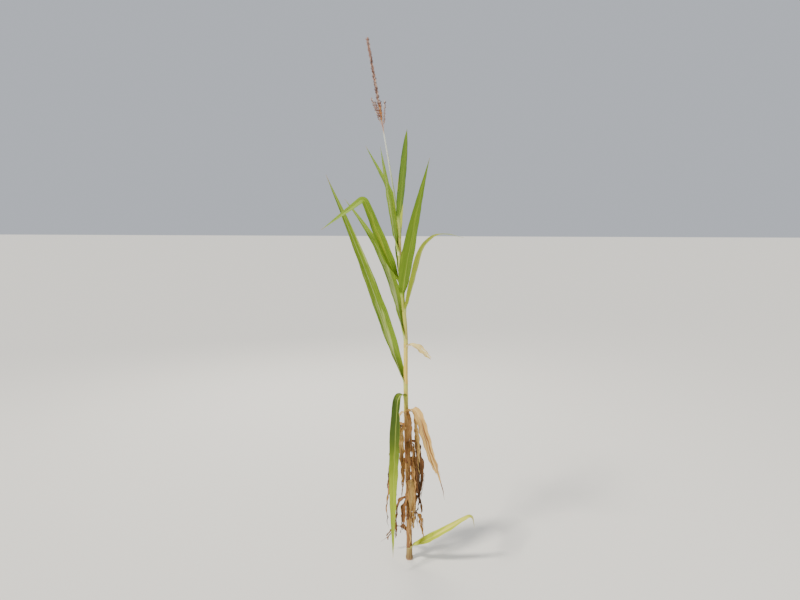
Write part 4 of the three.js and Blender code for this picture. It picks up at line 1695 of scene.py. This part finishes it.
@dataclass
class Tassel:
    """The dry flower spike over the stalk and the branches pressed up round its foot."""

    line: StalkLine
    top: float = 2.380
    tip_gap: float = 0.006
    gap: float = 0.0003
    bare_up_to: float = 2.060
    spike_stations: int = 90
    spike_radius: Span = (0.0027, 0.0008)
    spike_end_radius: float = 0.0009
    branch_radius: Span = (0.0013, 0.0006)
    branch_clearance: float = 0.0014
    branch_bare: float = 0.15
    branch_steps: int = 48
    root_depth: float = 0.007
    husk_scales: Span = (1.16, 0.80)
    spike_seed: int = 1
    branch_seed: int = 10
    droop_from: float = 0.2
    pitch: float = 0.0026
    turn: float = 137.5
    lean: float = 17.0
    spikelet_length: float = 0.0125
    spikelet_width: float = 0.0042
    spikelets: tuple[Place, ...] = ((0.0006, 4.0, 1.0), (0.0020, 16.0, 0.86))
    husk_pair: tuple[Span, ...] = ((0.0, 0.0), (180.0, 10.0))
    husk_rings: int = 6
    husk_sides: int = 6
    husk_flatness: float = 0.55
    husk_apart: float = 0.0006
    husk_fullness: float = 0.8

    def build(self) -> list[bpy.types.Object]:
        """Makes the spike and every branch.

        Returns:
            The finished pieces.
        """
        foot = self.line.top + self.gap
        points = self.line.centre(np.linspace(foot, self.top - self.tip_gap, self.spike_stations))
        bare = (self.bare_up_to - foot) / (self.top - foot)
        spike_scale, branch_scale = self.husk_scales
        twigs = [Twig("tassel_spike", points, self.spike_radius, bare, HuskTone.DULL, self.spike_seed,
                      spike_scale)]
        for order, branch in enumerate(BRANCHES, 1):
            twigs.append(Twig(f"tassel_branch_{order}", self._branch_points(branch), self.branch_radius,
                              self.branch_bare, branch.tone, self.branch_seed + order, branch_scale))
        tree = TwigTree()
        pair = self._spikelet_pair()
        materials = {tone: [husk.material() for husk in tone.value] for tone in HuskTone}
        pieces = [self._grown(twig, tree, pair, materials[twig.tone]) for twig in twigs]
        bpy.data.objects.remove(pair)
        return pieces

    def _grown(self, twig: Twig, tree: TwigTree, pair: bpy.types.Object,
               materials: list[bpy.types.Material]) -> bpy.types.Object:
        """Grows one twig with its husks, and stands it in for its solid.

        Args:
            twig: The spike or a branch.
            tree: What grows it.
            pair: The spikelets that are repeated.
            materials: The tan, the brown and the straw of its husks.

        Returns:
            The finished piece.
        """
        length = float(np.sum(np.linalg.norm(np.diff(twig.points, axis=0), axis=1)))
        path = path_mesh(twig.node, twig.points, {})
        piece = tree.grow(twig.node + "_flowers", path, {
            "Spikelet": pair, "Count": int(length / self.pitch), "Bare Share": twig.bare,
            "Foot Radius": twig.radius[0], "Tip Radius": twig.radius[1], "Turn": math.radians(self.turn),
            "Lean": math.radians(self.lean), "Seed": twig.seed, "Husk Scale": twig.husk_scale,
            "Tan": materials[0], "Brown": materials[1], "Straw": materials[2]})
        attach(piece, BODY)
        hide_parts(twig.node)
        return piece

    def _branch_points(self, branch: Branch) -> np.ndarray:
        """A branch's line, which grows out of the spike, opens from it and droops as it is told.

        Args:
            branch: Its sizes.

        Returns:
            One point in each row.
        """
        axis = self.line.direction(branch.height)
        out = level(np.radians(branch.azimuth))
        out = out - axis * (out @ axis)
        out = out / np.linalg.norm(out)
        share_up = (branch.height - self.line.top) / (self.top - self.line.top)
        spike = lerp(self.spike_radius[0], self.spike_end_radius, share_up)
        start = self.line.centre(branch.height) + out * (spike + self.branch_clearance + self.gap)
        root = self.line.centre(branch.height - self.root_depth)
        steps = self.branch_steps
        middles = (np.arange(steps) + 0.5) / steps
        drooped = smooth((middles - self.droop_from) / (1.0 - self.droop_from))
        opening = np.radians(branch.opening + branch.droop * drooped)
        ways = turned(rows_of(axis, steps), rows_of(out, steps), opening)
        run = start + np.vstack([np.zeros(3), np.cumsum(ways * (branch.length / steps), axis=0)])
        return np.vstack([root, run])

    def _spikelet_pair(self) -> bpy.types.Object:
        """A pair of open dry spikelets, each of two pointed husks, for the tree to repeat.

        Returns:
            An object that is taken away once the tassel stands.
        """
        made = bmesh.new()
        for reach, lean, size in self.spikelets:
            for turn, gape in self.husk_pair:
                self._husk(made, reach, lean + gape, turn, size)
        mesh = bpy.data.meshes.new("spikelet_pair")
        made.to_mesh(mesh)
        made.free()
        return placed("spikelet_pair", mesh)

    def _husk(self, made: bmesh.types.BMesh, reach: float, lean: float, turn: float,
              size: float) -> None:
        """Adds one closed, boat-shaped husk that leans out from its twig.

        Args:
            made: What it is added to.
            reach: How far its foot is from the middle of the twig.
            lean: How far it leans.
            turn: Which side of its spikelet it is on.
            size: Its size, where 1 is the full one.
        """
        around = self.husk_sides
        half_width = self.spikelet_width / 2 * size
        length = self.spikelet_length * size
        aside = self.husk_apart * math.cos(math.radians(turn))
        tilt = math.radians(lean)
        loops = []
        for ring in range(1, self.husk_rings):
            share = ring / self.husk_rings
            swell = math.sin(math.pi * share ** self.husk_fullness)
            loop = []
            for side in range(around):
                angle = FULL_TURN * side / around
                x = half_width * swell * math.cos(angle) * self.husk_flatness + aside
                y = half_width * swell * math.sin(angle)
                z = length * share
                loop.append(made.verts.new((reach + x * math.cos(tilt) + z * math.sin(tilt), y,
                                            z * math.cos(tilt) - x * math.sin(tilt))))
            loops.append(loop)
        foot = made.verts.new((reach, 0.0, 0.0))
        tip = made.verts.new((reach + length * math.sin(tilt), 0.0, length * math.cos(tilt)))
        for side in range(around):
            after = (side + 1) % around
            made.faces.new((foot, loops[0][after], loops[0][side]))
            made.faces.new((tip, loops[-1][side], loops[-1][after]))
            for low, high in zip(loops, loops[1:]):
                made.faces.new((low[side], low[after], high[after], high[side]))


@dataclass(frozen=True)
class Lamp:
    """A soft square light."""

    name: str
    place: Place
    size: float
    power: float
    tint: Place


@dataclass
class Studio:
    """A pale floor, soft lights and the camera at the photograph's viewing angle."""

    camera_place: Place = (0.37, -2.66, 1.60)
    aim: Place = (-0.045, 0.0, 1.245)
    focal_pixels: float = 601.0
    frame_width_pixels: float = 800.0
    sensor_width: float = 36.0
    floor_half: float = 60.0
    floor_tone: str = "d9d6cf"
    floor_roughness: float = 0.9
    sun_from: Place = (-2.6, -2.4, 4.2)
    sun_strength: float = 4.6
    sun_spread: float = 9.0
    sun_tint: Place = (1.0, 0.96, 0.88)
    lamps: tuple[Lamp, ...] = (Lamp("fill", (3.2, -2.2, 2.2), 3.0, 40.0, (0.93, 0.96, 1.0)),
                               Lamp("rim", (-1.6, 3.2, 3.4), 2.0, 120.0, (1.0, 0.96, 0.88)))
    lamps_aim: Place = (0.0, 0.0, 1.1)
    sky: Colour = (0.86, 0.91, 1.0, 1.0)
    sky_strength: float = 0.62

    def build(self) -> None:
        """Makes the floor, the lights and the camera."""
        self._floor()
        self._lights()
        world = bpy.data.worlds.new("soft_sky")
        world.use_nodes = True
        background = world.node_tree.nodes["Background"]
        background.inputs["Color"].default_value = self.sky
        background.inputs["Strength"].default_value = self.sky_strength
        bpy.context.scene.world = world
        self._camera()

    @staticmethod
    def _aimed(name: str, data: bpy.types.ID, place: Place, target: Place) -> bpy.types.Object:
        """Stands a light or a camera at a place, facing a target.

        Args:
            name: The object's name.
            data: The light or camera.
            place: Where it stands.
            target: What it faces.

        Returns:
            The object.
        """
        made = placed(name, data)
        made.location = place
        made.rotation_euler = (Vector(target) - Vector(place)).to_track_quat("-Z", "Y").to_euler()
        return made

    def _floor(self) -> None:
        """A wide pale floor, which isn't part of the plant."""
        half = self.floor_half
        mesh = bpy.data.meshes.new("floor")
        corners = [(-half, -half, 0.0), (half, -half, 0.0), (half, half, 0.0), (-half, half, 0.0)]
        mesh.from_pydata(corners, [], [(0, 1, 2, 3)])
        floor = placed("floor", mesh)
        pale = bpy.data.materials.new("pale_floor")
        pale.use_nodes = True
        shader = pale.node_tree.nodes["Principled BSDF"]
        shader.inputs["Base Color"].default_value = colour(self.floor_tone)
        shader.inputs["Roughness"].default_value = self.floor_roughness
        mesh.materials.append(pale)

    def _lights(self) -> None:
        """Adds the main light, even over the whole floor, and the soft lamps."""
        sun = bpy.data.lights.new("key", "SUN")
        sun.energy = self.sun_strength
        sun.angle = math.radians(self.sun_spread)
        sun.color = self.sun_tint
        self._aimed("key", sun, self.sun_from, (0.0, 0.0, 0.0))
        for lamp in self.lamps:
            light = bpy.data.lights.new(lamp.name, "AREA")
            light.size = lamp.size
            light.energy = lamp.power
            light.color = lamp.tint
            self._aimed(lamp.name, light, lamp.place, self.lamps_aim)

    def _camera(self) -> None:
        """Stands the camera where the photograph was taken and aims it so that the whole plant shows."""
        data = bpy.data.cameras.new("camera")
        data.sensor_width = self.sensor_width
        data.lens = self.focal_pixels / self.frame_width_pixels * self.sensor_width
        bpy.context.scene.camera = self._aimed("camera", data, self.camera_place, self.aim)


def main() -> None:
    """Builds the plant and its studio."""
    logging.basicConfig(level=logging.INFO, format="%(name)s %(message)s")
    Studio().build()
    line = StalkLine()
    leaves = LeafBuilder(line)
    pieces = [Stalk(line, leaves.joints()).build()]
    pieces += [leaves.build(order) for order in range(len(LEAVES))]
    pieces += Tassel(line).build()


if __name__ == "__main__":
    main()
